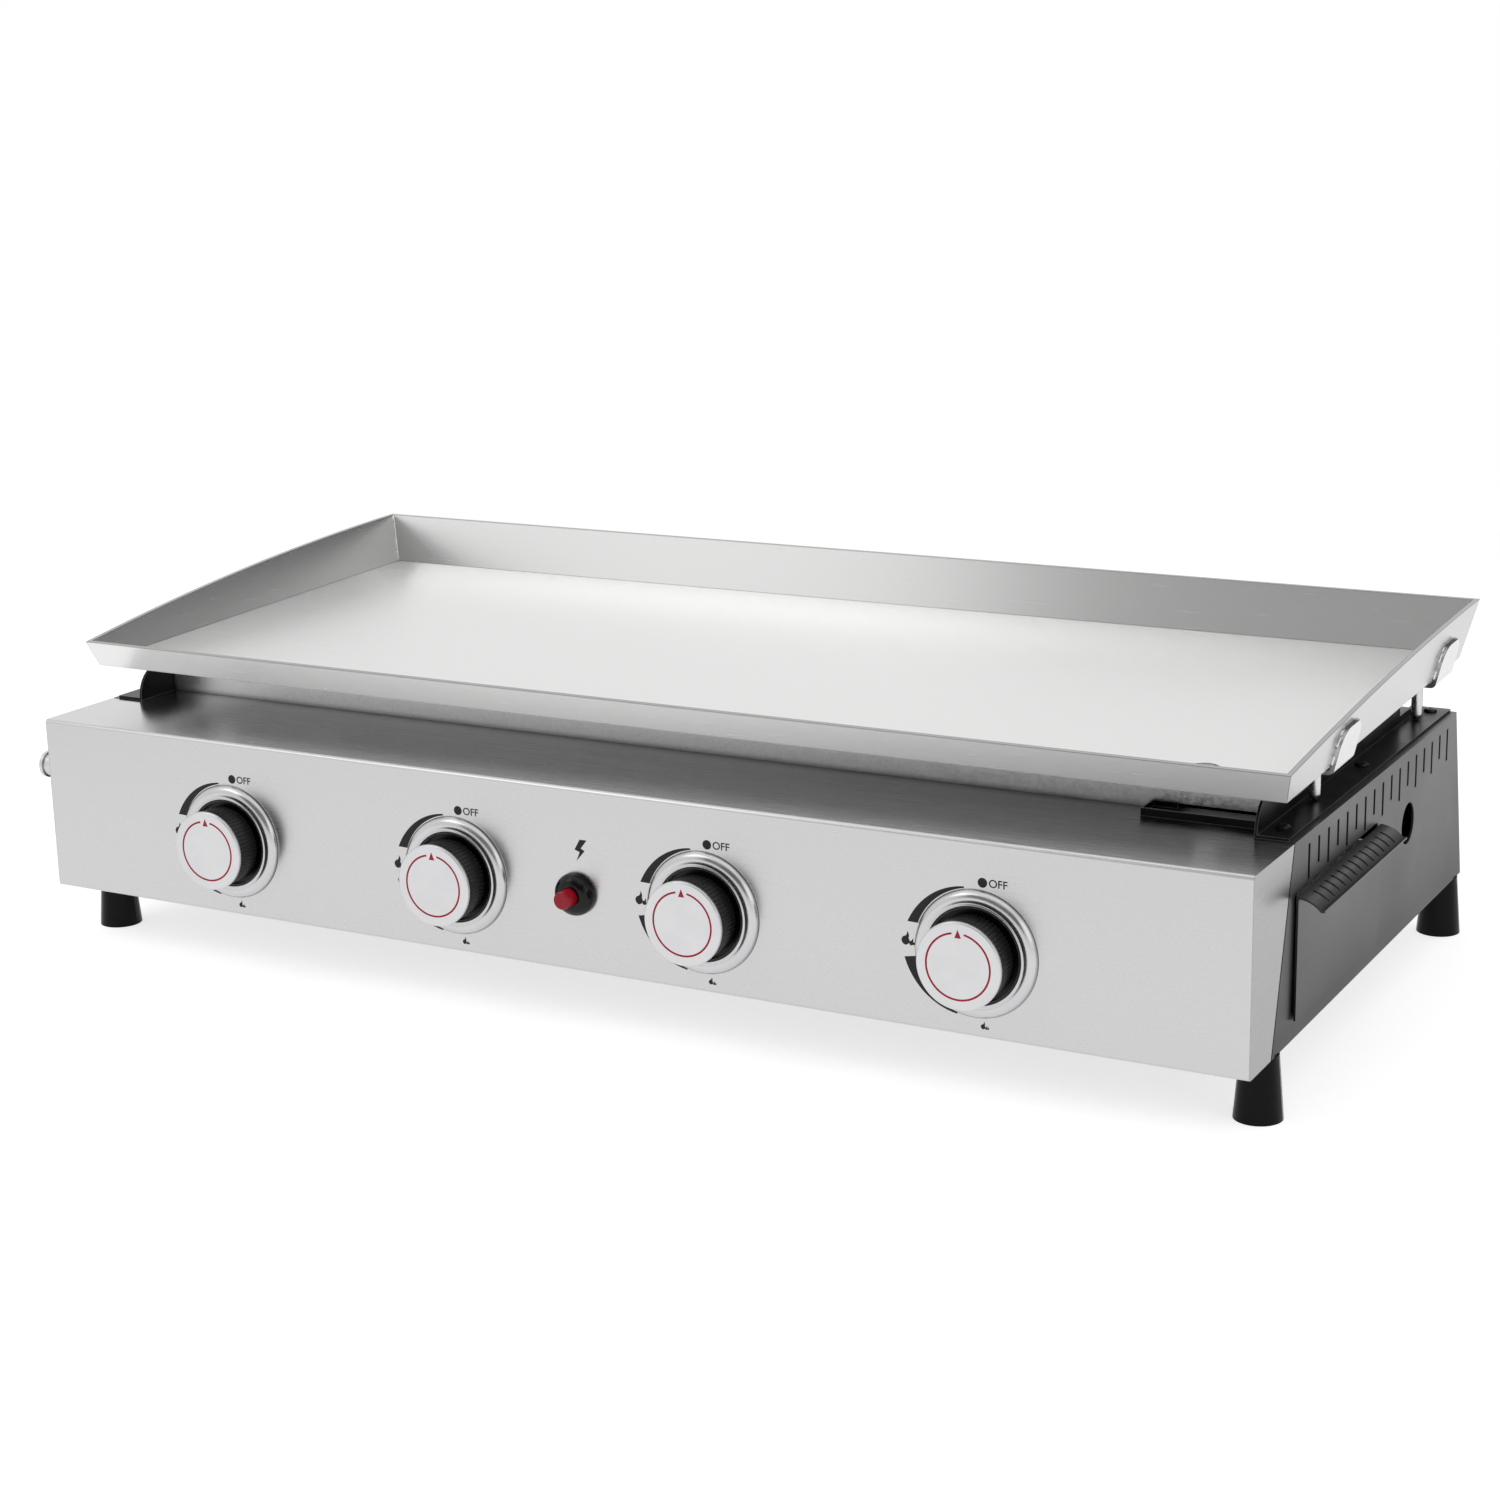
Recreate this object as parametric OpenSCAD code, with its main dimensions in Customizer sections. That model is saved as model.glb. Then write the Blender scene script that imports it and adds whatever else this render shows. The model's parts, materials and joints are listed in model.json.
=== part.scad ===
// Table-top gas griddle: a flared steel plate that lifts off a low body with four burners,
// four push-and-turn knobs, a push-button igniter and a grease drawer in the right side.
// Millimetres. X runs to the right of the front panel, Y to the back, Z up from the table.

/* [Body] */
// Width of the body, over the side panels
body_w = 800; // [720:1:900]
// Height of the front panel
body_h = 110; // [104:1:124]
// Depth of the body along its top edge
body_top_d = 375; // [366:1:400]
// Depth of the body along its bottom edge
body_base_d = 400; // [390:1:420]
// Depth of the front panel's side wing at the top
wing_top_d = 63; // [58:1:66]
// Depth of the front panel's side wing at the bottom
wing_base_d = 33.5; // [30:0.5:38]
// Thickness of the panels' sheet
sheet_t = 1.2; // [0.8:0.1:1.5]
// Depth of the front panel's hem at the bottom
hem_d = 18; // [12:1:22]
// Outer radius of the front panel's bends
bend_r = 2; // [1.8:0.1:3]
// Overlap of the side panels behind the front wings
lap_d = 6; // [4:0.5:7]
// Width of the side panels' inner flanges
flange_w = 22; // [20:0.5:24]
// Gap between the front panel's wings and the side panels
wing_gap = 1.4; // [0.4:0.1:2.4]
// Distance of the heat shield from the front panel's face
shield_y = 98.8; // [97:0.2:104]
// Height of the heat shield above the body's top
shield_up = 20; // [14:0.5:21]
// Distance of the burners' rear rail from the front panel's face
rear_rail_y = 350; // [342:1:354]

/* [Vents] */
// Number of slots in each side panel
side_slots = 17; // [9:2:19]
// Distance from slot to slot
slot_pitch = 16.7; // [12:0.1:16.9]
// Number of slots in the back panel
back_slots = 31; // [15:2:35]
// Width of a slot
slot_w = 3.4; // [2:0.1:4]
// Length of the longer slots
slot_long = 19.8; // [16:0.2:22]
// Length of the shorter slots
slot_short = 14.8; // [10:0.2:16]
// Distance of the slots' top ends from the body's top
slot_drop = 6.5; // [5:0.5:9]
// Distance of the first slot from the front panel's face
slot_first_y = 88.5; // [80:0.5:90]
// Diameter of the lighting port
port_d = 25; // [18:1:28]
// Distance of the lighting port from the front panel's face
port_y = 275.5; // [250:0.5:300]
// Depth of the lighting port's centre below the body's top
port_drop = 45; // [42:0.5:60]

/* [Feet] */
// Height of the feet
foot_h = 36.5; // [30:0.5:50]
// Diameter of a foot at its top
foot_top_d = 21; // [18:0.5:24]
// Diameter of a foot at the table
foot_base_d = 27; // [24:0.5:32]
// Distance of the feet's axes from the body's sides
foot_in = 9.6; // [9:0.1:14]
// Distance of the front feet's axes from the front panel's face
foot_front_y = 44; // [40:0.5:56]
// Distance of the rear feet's axes from the body's back
foot_back_in = 11; // [11:0.5:20]
// Diameter of the feet's screws
foot_screw_d = 5; // [4:0.5:6]

/* [Griddle plate] */
// Thickness of the griddle plate
plate_t = 3; // [2:0.5:4]
// Distance of the plate's floor from the body's sides
plate_in = 1.3; // [0:0.1:3]
// Distance of the plate's floor from the front panel's face
plate_y = 52.6; // [50:0.2:56]
// Depth of the plate's floor
plate_d = 328.5; // [318:0.5:336]
// Height of the plate's front edge over the body's top
plate_up = 24.5; // [24:0.5:32]
// Slope of the plate, down to the front, in degrees
plate_slope = 1.43; // [1.2:0.01:1.8]
// Height of the front lip
lip_h = 16.7; // [12:0.1:22]
// Height of the back wall
back_wall_h = 35.6; // [30:0.1:42]
// Rise of the side walls' curved rims over a straight line
rim_bow = 4.8; // [2:0.1:6]
// Flare of the side walls, in degrees from upright
side_flare = 14; // [8:1:16]
// Flare of the front lip, in degrees from upright
front_flare = 22; // [15:1:28]
// Flare of the back wall, in degrees from upright
back_flare = 15; // [10:1:20]
// Diameter of the grease drain in the plate
drain_d = 16; // [12:1:16]
// Distance of the drain from the floor's front edge
drain_y = 37; // [36.5:0.5:38]
// Distance of the drain from the floor's right edge
drain_in = 58; // [54:0.5:62]

/* [Plate feet] */
// Width of the straps that carry the plate's feet
strap_w = 36; // [28:1:40]
// Thickness of the straps
strap_t = 2.5; // [2:0.1:3]
// Height of the straps on the plate's walls
strap_h = 20; // [17:0.5:22]
// Radius of the straps' upper corners
strap_r = 11; // [6:0.5:13]
// Depth of the straps' lower legs under the plate's floor
strap_drop = 5; // [3.5:0.5:6]
// Outer radius of the straps' lower bends
strap_bend_r = 3.3; // [2:0.1:4]
// Distance of the front straps from the front panel's face
strap_front_y = 143; // [130:1:160]
// Distance of the rear straps from the front panel's face
strap_rear_y = 340; // [320:1:350]
// Diameter of the plate's feet
stud_d = 6.6; // [5:0.2:7]
// Distance of the plate's feet from the body's sides
stud_in = 15.4; // [12.4:0.1:16.4]

/* [Plate brackets] */
// Thickness of the brackets
bracket_t = 1.6; // [1.2:0.1:2.4]
// Distance of the brackets' outer edge from the body's sides
bracket_in = 3.6; // [3:0.1:5]
// Distance of the brackets' front end from the front panel's face
bracket_y = 65.5; // [64:0.5:68]
// Length of the brackets
bracket_l = 309; // [304:1:310]
// Reach of the brackets past the side panels' inner flanges
bracket_over = 0.7; // [0.3:0.1:1.5]
// Diameter of the brackets' screws
bracket_screw_d = 4; // [3:0.5:5]
// Height of the brackets' upright wall at the front
bracket_h = 21; // [16:0.5:21.5]
// Radius of the upright wall's front corner
bracket_r = 19; // [12:0.5:20]
// Width of the notches in the upright wall at the plate's feet
notch_w = 29; // [20:1:32]
// Height of the upright wall under the notches, over the bracket's base
notch_sill = 4.8; // [2:0.2:8]

/* [Knobs] */
// Distance of the outer knobs' axes from the body's sides, for knobs that stand mid-way
knob_side = 148.6; // [140:0.1:158]
// Offset of the row of knobs from the body's middle
knob_mid = -4; // [-8:0.1:2]
// Depth of the knobs' axes below the body's top
knob_drop = 62.9; // [61:0.1:66]
// Distance of the knobs' faces from the front panel
knob_out = 23.4; // [20:0.1:25]
// Diameter of the knobs' caps
cap_d = 49.2; // [48:0.2:52]
// Thickness of the caps
cap_t = 2.4; // [2:0.1:3]
// Diameter of the knobs' grip
grip_d = 47.8; // [46:0.2:49.8]
// Number of flutes round a grip
flutes = 60; // [36:4:64]
// Depth of the flutes
flute_h = 0.8; // [0.4:0.1:1]
// Gap between a knob's back and the front panel
knob_gap = 5; // [4.8:0.1:5.5]
// Outer diameter of the knobs' bezels
bezel_d = 71.8; // [68:0.2:74]
// Height of the bezels over the front panel
bezel_h = 4.6; // [4:0.1:5]
// Inner diameter of the bezels
bezel_in_d = 54.6; // [54:0.2:56]
// Diameter of the valves' stems
stem_d = 6; // [5:0.5:7]
// Running clearance of the stems, on the radius
stem_fit = 0.05; // [0.02:0.01:0.1]
// Travel of a knob when it is pushed in
push_travel = 3.5; // [2.5:0.1:3.8]

/* [Gas] */
// Diameter of the gas manifold
pipe_d = 14; // [12:0.5:16]
// Wall of the gas manifold
pipe_wall = 1.5; // [1:0.1:2]
// Distance of the manifold's axis from the front panel's face
pipe_y = 38; // [36:0.5:38]
// Depth of the manifold's axis below the body's top
pipe_drop = 42.3; // [41:0.1:43]
// Distance of the gas inlet's end from the body's left side
inlet_out = 37.2; // [34:0.2:60]
// Diameter of the gas inlet
inlet_d = 17.4; // [16.6:0.2:24]
// Bore of the gas inlet
inlet_bore_d = 11.8; // [10:0.2:12]
// Depth of the gas inlet's bore
inlet_bore_l = 12; // [8:0.5:14]
// Diameter of a valve's barrel
valve_d = 20; // [18:0.5:21]
// Length of a valve's barrel behind the front panel
valve_l = 46; // [44:0.5:50]
// Diameter of a valve's gas jet
jet_d = 8; // [6:0.5:9]
// Diameter of the burners
burner_d = 25; // [22:0.5:28]
// Wall of the burners
burner_wall = 1; // [0.8:0.1:1.5]
// Number of flame slots in a burner
flame_slots = 22; // [12:1:26]

/* [Igniter] */
// Diameter of the igniter's collar
collar_d = 25.4; // [24:0.2:30]
// Height of the igniter's collar
collar_h = 8; // [7:0.1:10]
// Diameter of the igniter's button
button_d = 10.6; // [10:0.2:13]
// Distance of the button's face from the front panel
button_out = 16.5; // [16:0.5:21]
// Travel of the button
button_travel = 6; // [4:0.5:7]

/* [Grease drawer] */
// Distance of the drawer's front from the front panel's face
drawer_y = 66; // [64:0.5:70]
// Width of the drawer's front
drawer_w = 150; // [140:1:170]
// Height of the drawer's front
drawer_h = 69; // [60:1:69]
// Depth of the drawer's upper edge below the body's top
drawer_drop = 29.4; // [28.4:0.1:30]
// Gap in the right side panel over the drawer's upper edge
drawer_gap = 1.4; // [1:0.1:2]
// Length of the drawer's tray
tray_l = 120; // [100:1:124]
// Wall of the drawer's tray
tray_t = 1; // [0.8:0.1:1.5]
// Distance that the drawer's grip stands out from the drawer's front
grip_out = 14.3; // [12:0.1:20]
// Drop of the drawer's grip to its outer edge
grip_drop = 6; // [4:0.5:8]
// Number of slots in the drawer's grip
grip_slots = 13; // [7:1:15]
// Width of the slots in the drawer's grip
grip_slot_w = 2.2; // [1:0.1:3]
// Width of the grease chute's shelf
chute_w = 65; // [56:1:68]
// Distance of the chute's lip from the front panel's face
chute_y = 80; // [76:0.5:84]
// Height of the chute's lip
chute_lip = 4.5; // [3:0.1:6]
// Height of the chute's way through the heat shield, above the body's top
chute_way = 3.8; // [3:0.1:6]
// Set-back of the chute's spout from the left end of its shelf
spout_in = 14; // [8:1:20]
// Depth of the spout behind the heat shield
spout_d = 30; // [20:1:34]

/* [Hidden] */
// Curves are drawn with this many sides
$fn = 48;
// Seam between panels, gap between parts at rest, and overlap of cuts
seam = 0.3;
gap = 0.3;
eps = 0.5;

// Heights of the body's top, of the base pan's sheet and of the valves' axes
top_z = foot_h + body_h;
pan_t = 1;
pan_z = foot_h + sheet_t;
floor_z = pan_z + pan_t;
valve_z = top_z - knob_drop;
pipe_z = top_z - pipe_drop;
side_x = body_w / 2;
inner_x = side_x - sheet_t;
flange_x = side_x - flange_w;

// The back leans out towards its foot
back_tilt = atan((body_base_d - body_top_d) / body_h);
back_ty = sheet_t / cos(back_tilt);

// Brackets that carry the plate
bracket_x1 = side_x - bracket_in;
bracket_x0 = flange_x - bracket_over;
bracket_y1 = bracket_y + bracket_l;
bracket_screws_y = [bracket_y + 18.5, bracket_y + bracket_l / 2 + 3, bracket_y1 - 11];

// The plate's own frame starts at the middle of the floor's front edge
plate_z = top_z + plate_up;
plate_hw = side_x - plate_in;
drain_x = plate_hw - drain_in;
stud_x = side_x - stud_in;

// Knobs, valves and burners share these places
knob_pitch = (body_w - 2 * knob_side) / 3;
knob_x = [for (i = [0:3]) knob_mid + (i - 1.5) * knob_pitch];
stem_r = stem_d / 2;
bore_r = stem_r + stem_fit;
washer_d = 13.4;
washer_t = 1.5;
washer_y = 6;
socket_l = 18;
jet_y1 = valve_l + 20;
burner_y0 = jet_y1 - 6;
burner_y1 = rear_rail_y - 5;
tail_d = 8;
shield_t = 1.2;
pipe_x0 = -side_x - inlet_out + inlet_bore_l + 3;
pipe_x1 = knob_x[3] + 20;
hanger_x = [knob_x[0] - 60, (knob_x[2] + knob_x[3]) / 2];

// Igniter: the body's length behind the front panel, and its two terminals
igniter_l = 48;
terminal_l = 6;
terminal_x = 5;
terminal_y = igniter_l + terminal_l;

// Drawer and the chute above it
opening_w = drawer_w - 6;
opening_y = drawer_y + 3;
opening_z0 = top_z - drawer_drop - drawer_h + 1.5;
opening_z1 = top_z - drawer_drop + drawer_gap;
tray_w = opening_w - 3;
tray_y = opening_y + 1.5;
tray_z = opening_z0 + 1.5;
tray_h = top_z - drawer_drop - 9 - tray_z;
front_x = side_x + 1;
tray_x0 = front_x - tray_l;
chute_x0 = drain_x - chute_w / 2;
chute_x1 = drain_x + chute_w / 2;
spout_x0 = chute_x0 + spout_in;
spout_y1 = shield_y + shield_t + spout_d;
drawer_bay_x0 = tray_x0 - 9;

// Origin: the middle of the footprint
x_lo = -side_x - inlet_out;
x_hi = front_x + sheet_t + grip_out;
y_lo = -knob_out;
y_hi = max(body_base_d, body_base_d - foot_back_in + foot_base_d / 2);

// ---------------------------------------------------------------- helpers

// Moves a part from the front panel's frame to the origin
module place() {
    translate([-(x_lo + x_hi) / 2, -(y_lo + y_hi) / 2, 0]) children();
}

// A Y-Z outline pulled along X from x0 to x1
module along_x(x0, x1, outline) {
    translate([x0, 0, 0]) rotate([90, 0, 90]) linear_extrude(x1 - x0) polygon(outline);
}

// An X-Z outline pulled along Y from y0 to y1
module along_y(y0, y1, outline) {
    translate([0, y1, 0]) rotate([90, 0, 0]) linear_extrude(y1 - y0) polygon(outline);
}

// A box from one corner to the other
module box(low, high) {
    translate(low) cube(high - low);
}

// A round bar along Y, and one along X
module bar_y(x, z, y0, y1, d) {
    translate([x, y0, z]) rotate([-90, 0, 0]) cylinder(d = d, h = y1 - y0);
}

module bar_x(y, z, x0, x1, d) {
    translate([x0, y, z]) rotate([0, 90, 0]) cylinder(d = d, h = x1 - x0);
}

// A turned outline [radius, distance] on an axis along -Y, starting at the front panel
module turned(x, z, outline) {
    translate([x, 0, z]) rotate([90, 0, 0]) rotate_extrude() polygon(outline);
}

// Points on the arc from p to q that bows out to the left by bow
function arc(p, q, bow, n) =
    let (d = q - p, c = norm(d), r = (c * c / 4 + bow * bow) / (2 * bow),
        left = [-d[1], d[0]] / c, mid = (p + q) / 2 - left * (r - bow),
        a0 = atan2(p[1] - mid[1], p[0] - mid[0]), a1 = atan2(q[1] - mid[1], q[0] - mid[0]),
        turn = (a1 - a0 + 540) % 360 - 180)
    [for (i = [0:n]) let (a = a0 + turn * i / n) mid + abs(r) * [cos(a), sin(a)]];

// Where the leaning back is at height z, and where the wing's seam is
function back_y(z) = body_base_d + (body_top_d - body_base_d) * (z - foot_h) / body_h;
function wing_y(z) = wing_base_d + (wing_top_d - wing_base_d) * (z - foot_h) / body_h;

// ---------------------------------------------------------------- griddle plate

// Puts a part that is drawn in the plate's own frame on the body
module on_plate() {
    translate([0, plate_y, plate_z]) rotate([plate_slope, 0, 0]) children();
}

// The tray's outline from the side, drawn in by t from the outer faces
function tray_side(t) =
    let (fy = t / cos(front_flare), by = t / cos(back_flare), top = back_wall_h + rim_bow + 20,
        ft = tan(front_flare), bt = tan(back_flare))
    t == 0
    ? concat([[0, 0]], arc([-ft * lip_h, lip_h], [plate_d + bt * back_wall_h, back_wall_h],
        rim_bow, 20), [[plate_d, 0]])
    : [[fy - ft * t, t], [fy - ft * top, top], [plate_d + bt * top - by, top],
        [plate_d + bt * t - by, t]];

// The tray's outline from the front
function tray_front(t) =
    let (sx = t / cos(side_flare), top = back_wall_h + rim_bow + 21, st = tan(side_flare))
    [[-plate_hw - st * t + sx, t], [-plate_hw - st * top + sx, top],
        [plate_hw + st * top - sx, top], [plate_hw + st * t - sx, t]];

module flared_block(t) {
    intersection() {
        along_x(-body_w, body_w, tray_side(t));
        along_y(-body_w, body_w, tray_front(t));
    }
}

module griddle_plate() {
    color("#d9dadb") place() on_plate() difference() {
        flared_block(0);
        flared_block(plate_t);
        translate([drain_x, drain_y, -eps]) cylinder(d = drain_d, h = plate_t + 2 * eps);
    }
}

// A point on the straps' faces: at height z, and out from the side wall
function strap_face(z, out) = [plate_hw + 0.02 + out + tan(side_flare) * z, z];

// A strap stands on the side wall, turns in below the floor and carries a foot
module strap(side, y) {
    run = strap_t / cos(side_flare);
    turn = 90 - side_flare;
    back = strap_bend_r * tan(turn / 2);
    bow = strap_bend_r * (1 - cos(turn / 2));
    low = strap_face(-strap_drop, run);
    toe_x = stud_x - stud_d / 2 - 1;
    outline = concat([strap_face(strap_h, 0), strap_face(strap_h, run)],
        arc(low + back * [sin(side_flare), cos(side_flare)], low - [back, 0], bow, 5),
        [[toe_x, -strap_drop], [toe_x, strap_t - strap_drop], strap_face(strap_t - strap_drop, 0)]);
    mirror([side < 0 ? 1 : 0, 0, 0]) intersection() {
        along_y(y - strap_w / 2, y + strap_w / 2, outline);
        union() {
            box([0, y - strap_w / 2, -strap_drop - 1], [side_x + 20, y + strap_w / 2, strap_h - strap_r]);
            box([0, y - strap_w / 2 + strap_r, 0], [side_x + 20, y + strap_w / 2 - strap_r, strap_h]);
            for (s = [-1, 1])
                bar_x(y + s * (strap_w / 2 - strap_r), strap_h - strap_r, 0, side_x + 20, 2 * strap_r);
        }
    }
}

function strap_ys() = [strap_front_y - plate_y, strap_rear_y - plate_y];

module plate_straps() {
    color("#c4c6c8") place() on_plate()
        for (side = [-1, 1]) for (y = strap_ys()) strap(side, y);
}

// A foot hangs from its strap and ends in a ball just over the bracket
module plate_feet() {
    r = stud_d / 2;
    color("#cfd1d3") place() on_plate() for (side = [-1, 1]) for (y = strap_ys()) {
        drop = (plate_up + y * sin(plate_slope) - bracket_t - r - 0.1) / cos(plate_slope);
        translate([side * stud_x, y, -drop]) {
            sphere(r);
            cylinder(r = r, h = drop - strap_drop - 0.04);
        }
    }
}

// ---------------------------------------------------------------- body shell

// The front panel's lower and upper bends, drawn in by t from the outer face
function nose(t) =
    let (r = bend_r - t)
    [for (m = [[270, foot_h + bend_r], [180, top_z - bend_r]]) for (k = [0:4])
        let (a = m[0] - k * 22.5) [bend_r + r * cos(a), m[1] + r * sin(a)]];

module front_panel() {
    inner = nose(sheet_t);
    sheet = concat([[hem_d, foot_h]], nose(0), [[wing_top_d, top_z], [wing_top_d, top_z - sheet_t]],
        [for (i = [len(inner) - 1:-1:0]) inner[i]], [[hem_d, foot_h + sheet_t]]);
    wing = concat([[wing_base_d, foot_h]], nose(0), [[wing_top_d, top_z]]);
    color("#c9cacc") place() difference() {
        union() {
            along_x(-side_x, side_x, sheet);
            box([-flange_x + seam, wing_top_d - 1, top_z - sheet_t],
                [flange_x - seam, shield_y - seam, top_z]);
            for (x = [-side_x, inner_x]) along_x(x, x + sheet_t, wing);
        }
        for (x = knob_x) bar_y(x, valve_z, -eps, sheet_t + eps, stem_d + 10);
        bar_y(knob_mid, valve_z, -eps, sheet_t + eps, button_d + 6);
        bar_x(pipe_y, pipe_z, -side_x - eps, -inner_x + eps, pipe_d + 0.8);
    }
}

// One side panel, drawn for the right side; the drawer's opening is cut only there
module side_shell(with_drawer) {
    z0 = floor_z + seam;
    z1 = top_z - sheet_t - seam;
    difference() {
        union() {
            along_x(inner_x, side_x, [[wing_base_d + wing_gap, foot_h], [body_base_d, foot_h],
                [body_top_d, top_z], [wing_top_d + wing_gap, top_z]]);
            along_x(inner_x - sheet_t, inner_x, [[wing_y(z0) - lap_d, z0], [wing_y(z0) + lap_d, z0],
                [wing_y(z1) + lap_d, z1], [wing_y(z1) - lap_d, z1]]);
            box([flange_x, wing_top_d + wing_gap, top_z - sheet_t],
                [side_x, body_top_d - back_ty - seam, top_z]);
            box([flange_x, wing_base_d + wing_gap, foot_h],
                [side_x, body_base_d - back_ty - seam, foot_h + sheet_t]);
            along_x(flange_x, side_x, [for (p = [[1, foot_h], [2, foot_h], [2, top_z], [1, top_z]])
                [back_y(p[1]) - p[0] * back_ty, p[1]]]);
        }
        for (i = [0:side_slots - 1]) {
            y = slot_first_y + i * slot_pitch;
            l = i % 2 == 0 ? slot_long : slot_short;
            box([inner_x - eps, y - slot_w / 2, top_z - slot_drop - l],
                [side_x + eps, y + slot_w / 2, top_z - slot_drop]);
        }
        bar_x(port_y, top_z - port_drop, inner_x - eps, side_x + eps, port_d);
        if (with_drawer)
            box([inner_x - 2 * sheet_t, opening_y, opening_z0],
                [side_x + eps, opening_y + opening_w, opening_z1]);
        for (y = bracket_screws_y)
            translate([(bracket_x0 + bracket_x1) / 2, y, top_z - sheet_t - eps])
                cylinder(d = bracket_screw_d + 0.2, h = sheet_t + 2 * eps);
        for (y = feet_y()) translate([side_x - foot_in, y, foot_h - eps])
            cylinder(d = foot_screw_d + 0.2, h = sheet_t + 2 * eps);
        for (z = panel_screws_z()) back_screw_hole(z);
    }
}

module side_panel_right() {
    color("#3a3b3d") place() side_shell(true);
}

module side_panel_left() {
    color("#3a3b3d") place() mirror([1, 0, 0]) side_shell(false);
}

function panel_screws_z() = [foot_h + 18, foot_h + body_h / 2, top_z - 18];
screw_x = side_x - flange_w / 2 - 1;

// A hole square to the leaning back, at height z
module back_screw_hole(z) {
    translate([screw_x, back_y(z), z]) rotate([-90 + back_tilt, 0, 0])
        translate([0, 0, -5]) cylinder(d = 3.4, h = 7);
}

module back_panel() {
    hw = inner_x - seam;
    z0 = foot_h + sheet_t + seam;
    z1 = top_z - sheet_t - seam;
    in_x = flange_x - 1;
    color("#343537") place() difference() {
        union() {
            along_x(-hw, hw, [[back_y(foot_h) - back_ty, foot_h], [back_y(foot_h), foot_h],
                [back_y(top_z), top_z], [back_y(top_z) - back_ty, top_z]]);
            box([-in_x, body_top_d - 16, top_z - sheet_t], [in_x, body_top_d - 0.2, top_z]);
            box([-in_x, body_base_d - 16, foot_h], [in_x, body_base_d - 0.2, foot_h + sheet_t]);
        }
        for (i = [0:back_slots - 1]) {
            x = (i - (back_slots - 1) / 2) * slot_pitch;
            l = i % 2 == 0 ? slot_long : slot_short;
            box([x - slot_w / 2, min(body_top_d, body_base_d) - 8, top_z - slot_drop - l],
                [x + slot_w / 2, max(body_top_d, body_base_d) + 8, top_z - slot_drop]);
        }
        for (s = [0, 1]) mirror([s, 0, 0]) for (z = panel_screws_z()) back_screw_hole(z);
    }
}

module base_pan() {
    hw = inner_x - seam;
    y0 = hem_d + 1;
    y1 = body_base_d - back_ty * 2 - 1.5;
    rim = 9;
    vent_l = 26;
    vent_pitch = inner_x / 9.5;
    vent_rows = [for (f = [0.38, 0.56, 0.74]) f * body_base_d];
    color("#2f3032") place() difference() {
        union() {
            box([-hw, y0, pan_z], [hw, y1, floor_z]);
            box([-flange_x + 2, y0, pan_z], [flange_x - 2, y0 + pan_t, pan_z + rim]);
            box([-flange_x + 2, y1 - rim * 0.3 - pan_t, pan_z], [flange_x - 2, y1 - rim * 0.3, pan_z + rim]);
        }
        for (y = vent_rows) for (i = [-6:6]) translate([i * vent_pitch, y, pan_z - eps])
            box([-vent_l / 2, -slot_w / 2, 0], [vent_l / 2, slot_w / 2, pan_t + 2 * eps]);
        for (side = [-1, 1]) for (y = feet_y()) translate([side * (side_x - foot_in), y, pan_z - eps])
            cylinder(d = foot_screw_d + 0.2, h = pan_t + 2 * eps);
    }
}

// ---------------------------------------------------------------- plate brackets

module bracket() {
    rise = bracket_l * tan(plate_slope);
    corner = [for (i = [0:8]) let (a = 180 - i * 90 / 8)
        [bracket_y + bracket_r + bracket_r * cos(a), top_z + bracket_h - bracket_r + bracket_r * sin(a)]];
    difference() {
        union() {
            box([bracket_x0, bracket_y, top_z], [bracket_x1, bracket_y1, top_z + bracket_t]);
            along_x(bracket_x0, bracket_x0 + bracket_t, concat([[bracket_y, top_z]], corner,
                [[bracket_y1, top_z + bracket_h + rise], [bracket_y1, top_z]]));
        }
        for (y = [strap_front_y, strap_rear_y])
            box([bracket_x0 - eps, y - notch_w / 2, top_z + bracket_t + notch_sill],
                [bracket_x0 + bracket_t + eps, y + notch_w / 2, top_z + bracket_h + rise + eps]);
        for (y = bracket_screws_y)
            translate([(bracket_x0 + bracket_x1) / 2, y, top_z - eps])
                cylinder(d = bracket_screw_d + 0.2, h = bracket_t + 2 * eps);
    }
}

module bracket_right() {
    color("#17181a") place() bracket();
}

module bracket_left() {
    color("#17181a") place() mirror([1, 0, 0]) bracket();
}

// ---------------------------------------------------------------- inside the body

module heat_shield() {
    hw = bracket_x0 - seam;
    z1 = top_z + shield_up;
    color("#9fa1a2") place() difference() {
        union() {
            box([-hw, shield_y, floor_z], [hw, shield_y + shield_t, z1]);
            box([-hw, shield_y, floor_z], [hw, shield_y + 13, floor_z + shield_t]);
            box([-hw, shield_y, z1 - shield_t], [hw, shield_y + 13, z1]);
        }
        for (x = knob_x) bar_y(x, valve_z, shield_y - eps, shield_y + shield_t + eps, burner_d + 0.4);
        for (x = knob_x) bar_y(x + electrode_dx, electrode_z, shield_y - eps,
            shield_y + shield_t + eps, electrode_d + 0.2);
        box([drawer_bay_x0, shield_y - eps, floor_z - eps], [hw + eps, shield_y + 14, top_z - drawer_drop]);
        box([spout_x0 - seam, shield_y - eps, top_z - drawer_drop - eps],
            [chute_x1 + seam, shield_y + shield_t + eps, top_z + chute_way]);
    }
}

module burner_rail() {
    hw = knob_x[3] + 40;
    z1 = valve_z + 22;
    color("#8f9192") place() difference() {
        union() {
            box([-hw, rear_rail_y, floor_z], [hw, rear_rail_y + shield_t, z1]);
            box([-hw, rear_rail_y, floor_z], [hw, rear_rail_y + 14, floor_z + shield_t]);
            box([-hw, rear_rail_y, z1 - shield_t], [hw, rear_rail_y + 8, z1]);
        }
        for (x = knob_x) bar_y(x, valve_z, rear_rail_y - eps, rear_rail_y + shield_t + eps, tail_d + 0.4);
    }
}

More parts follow.
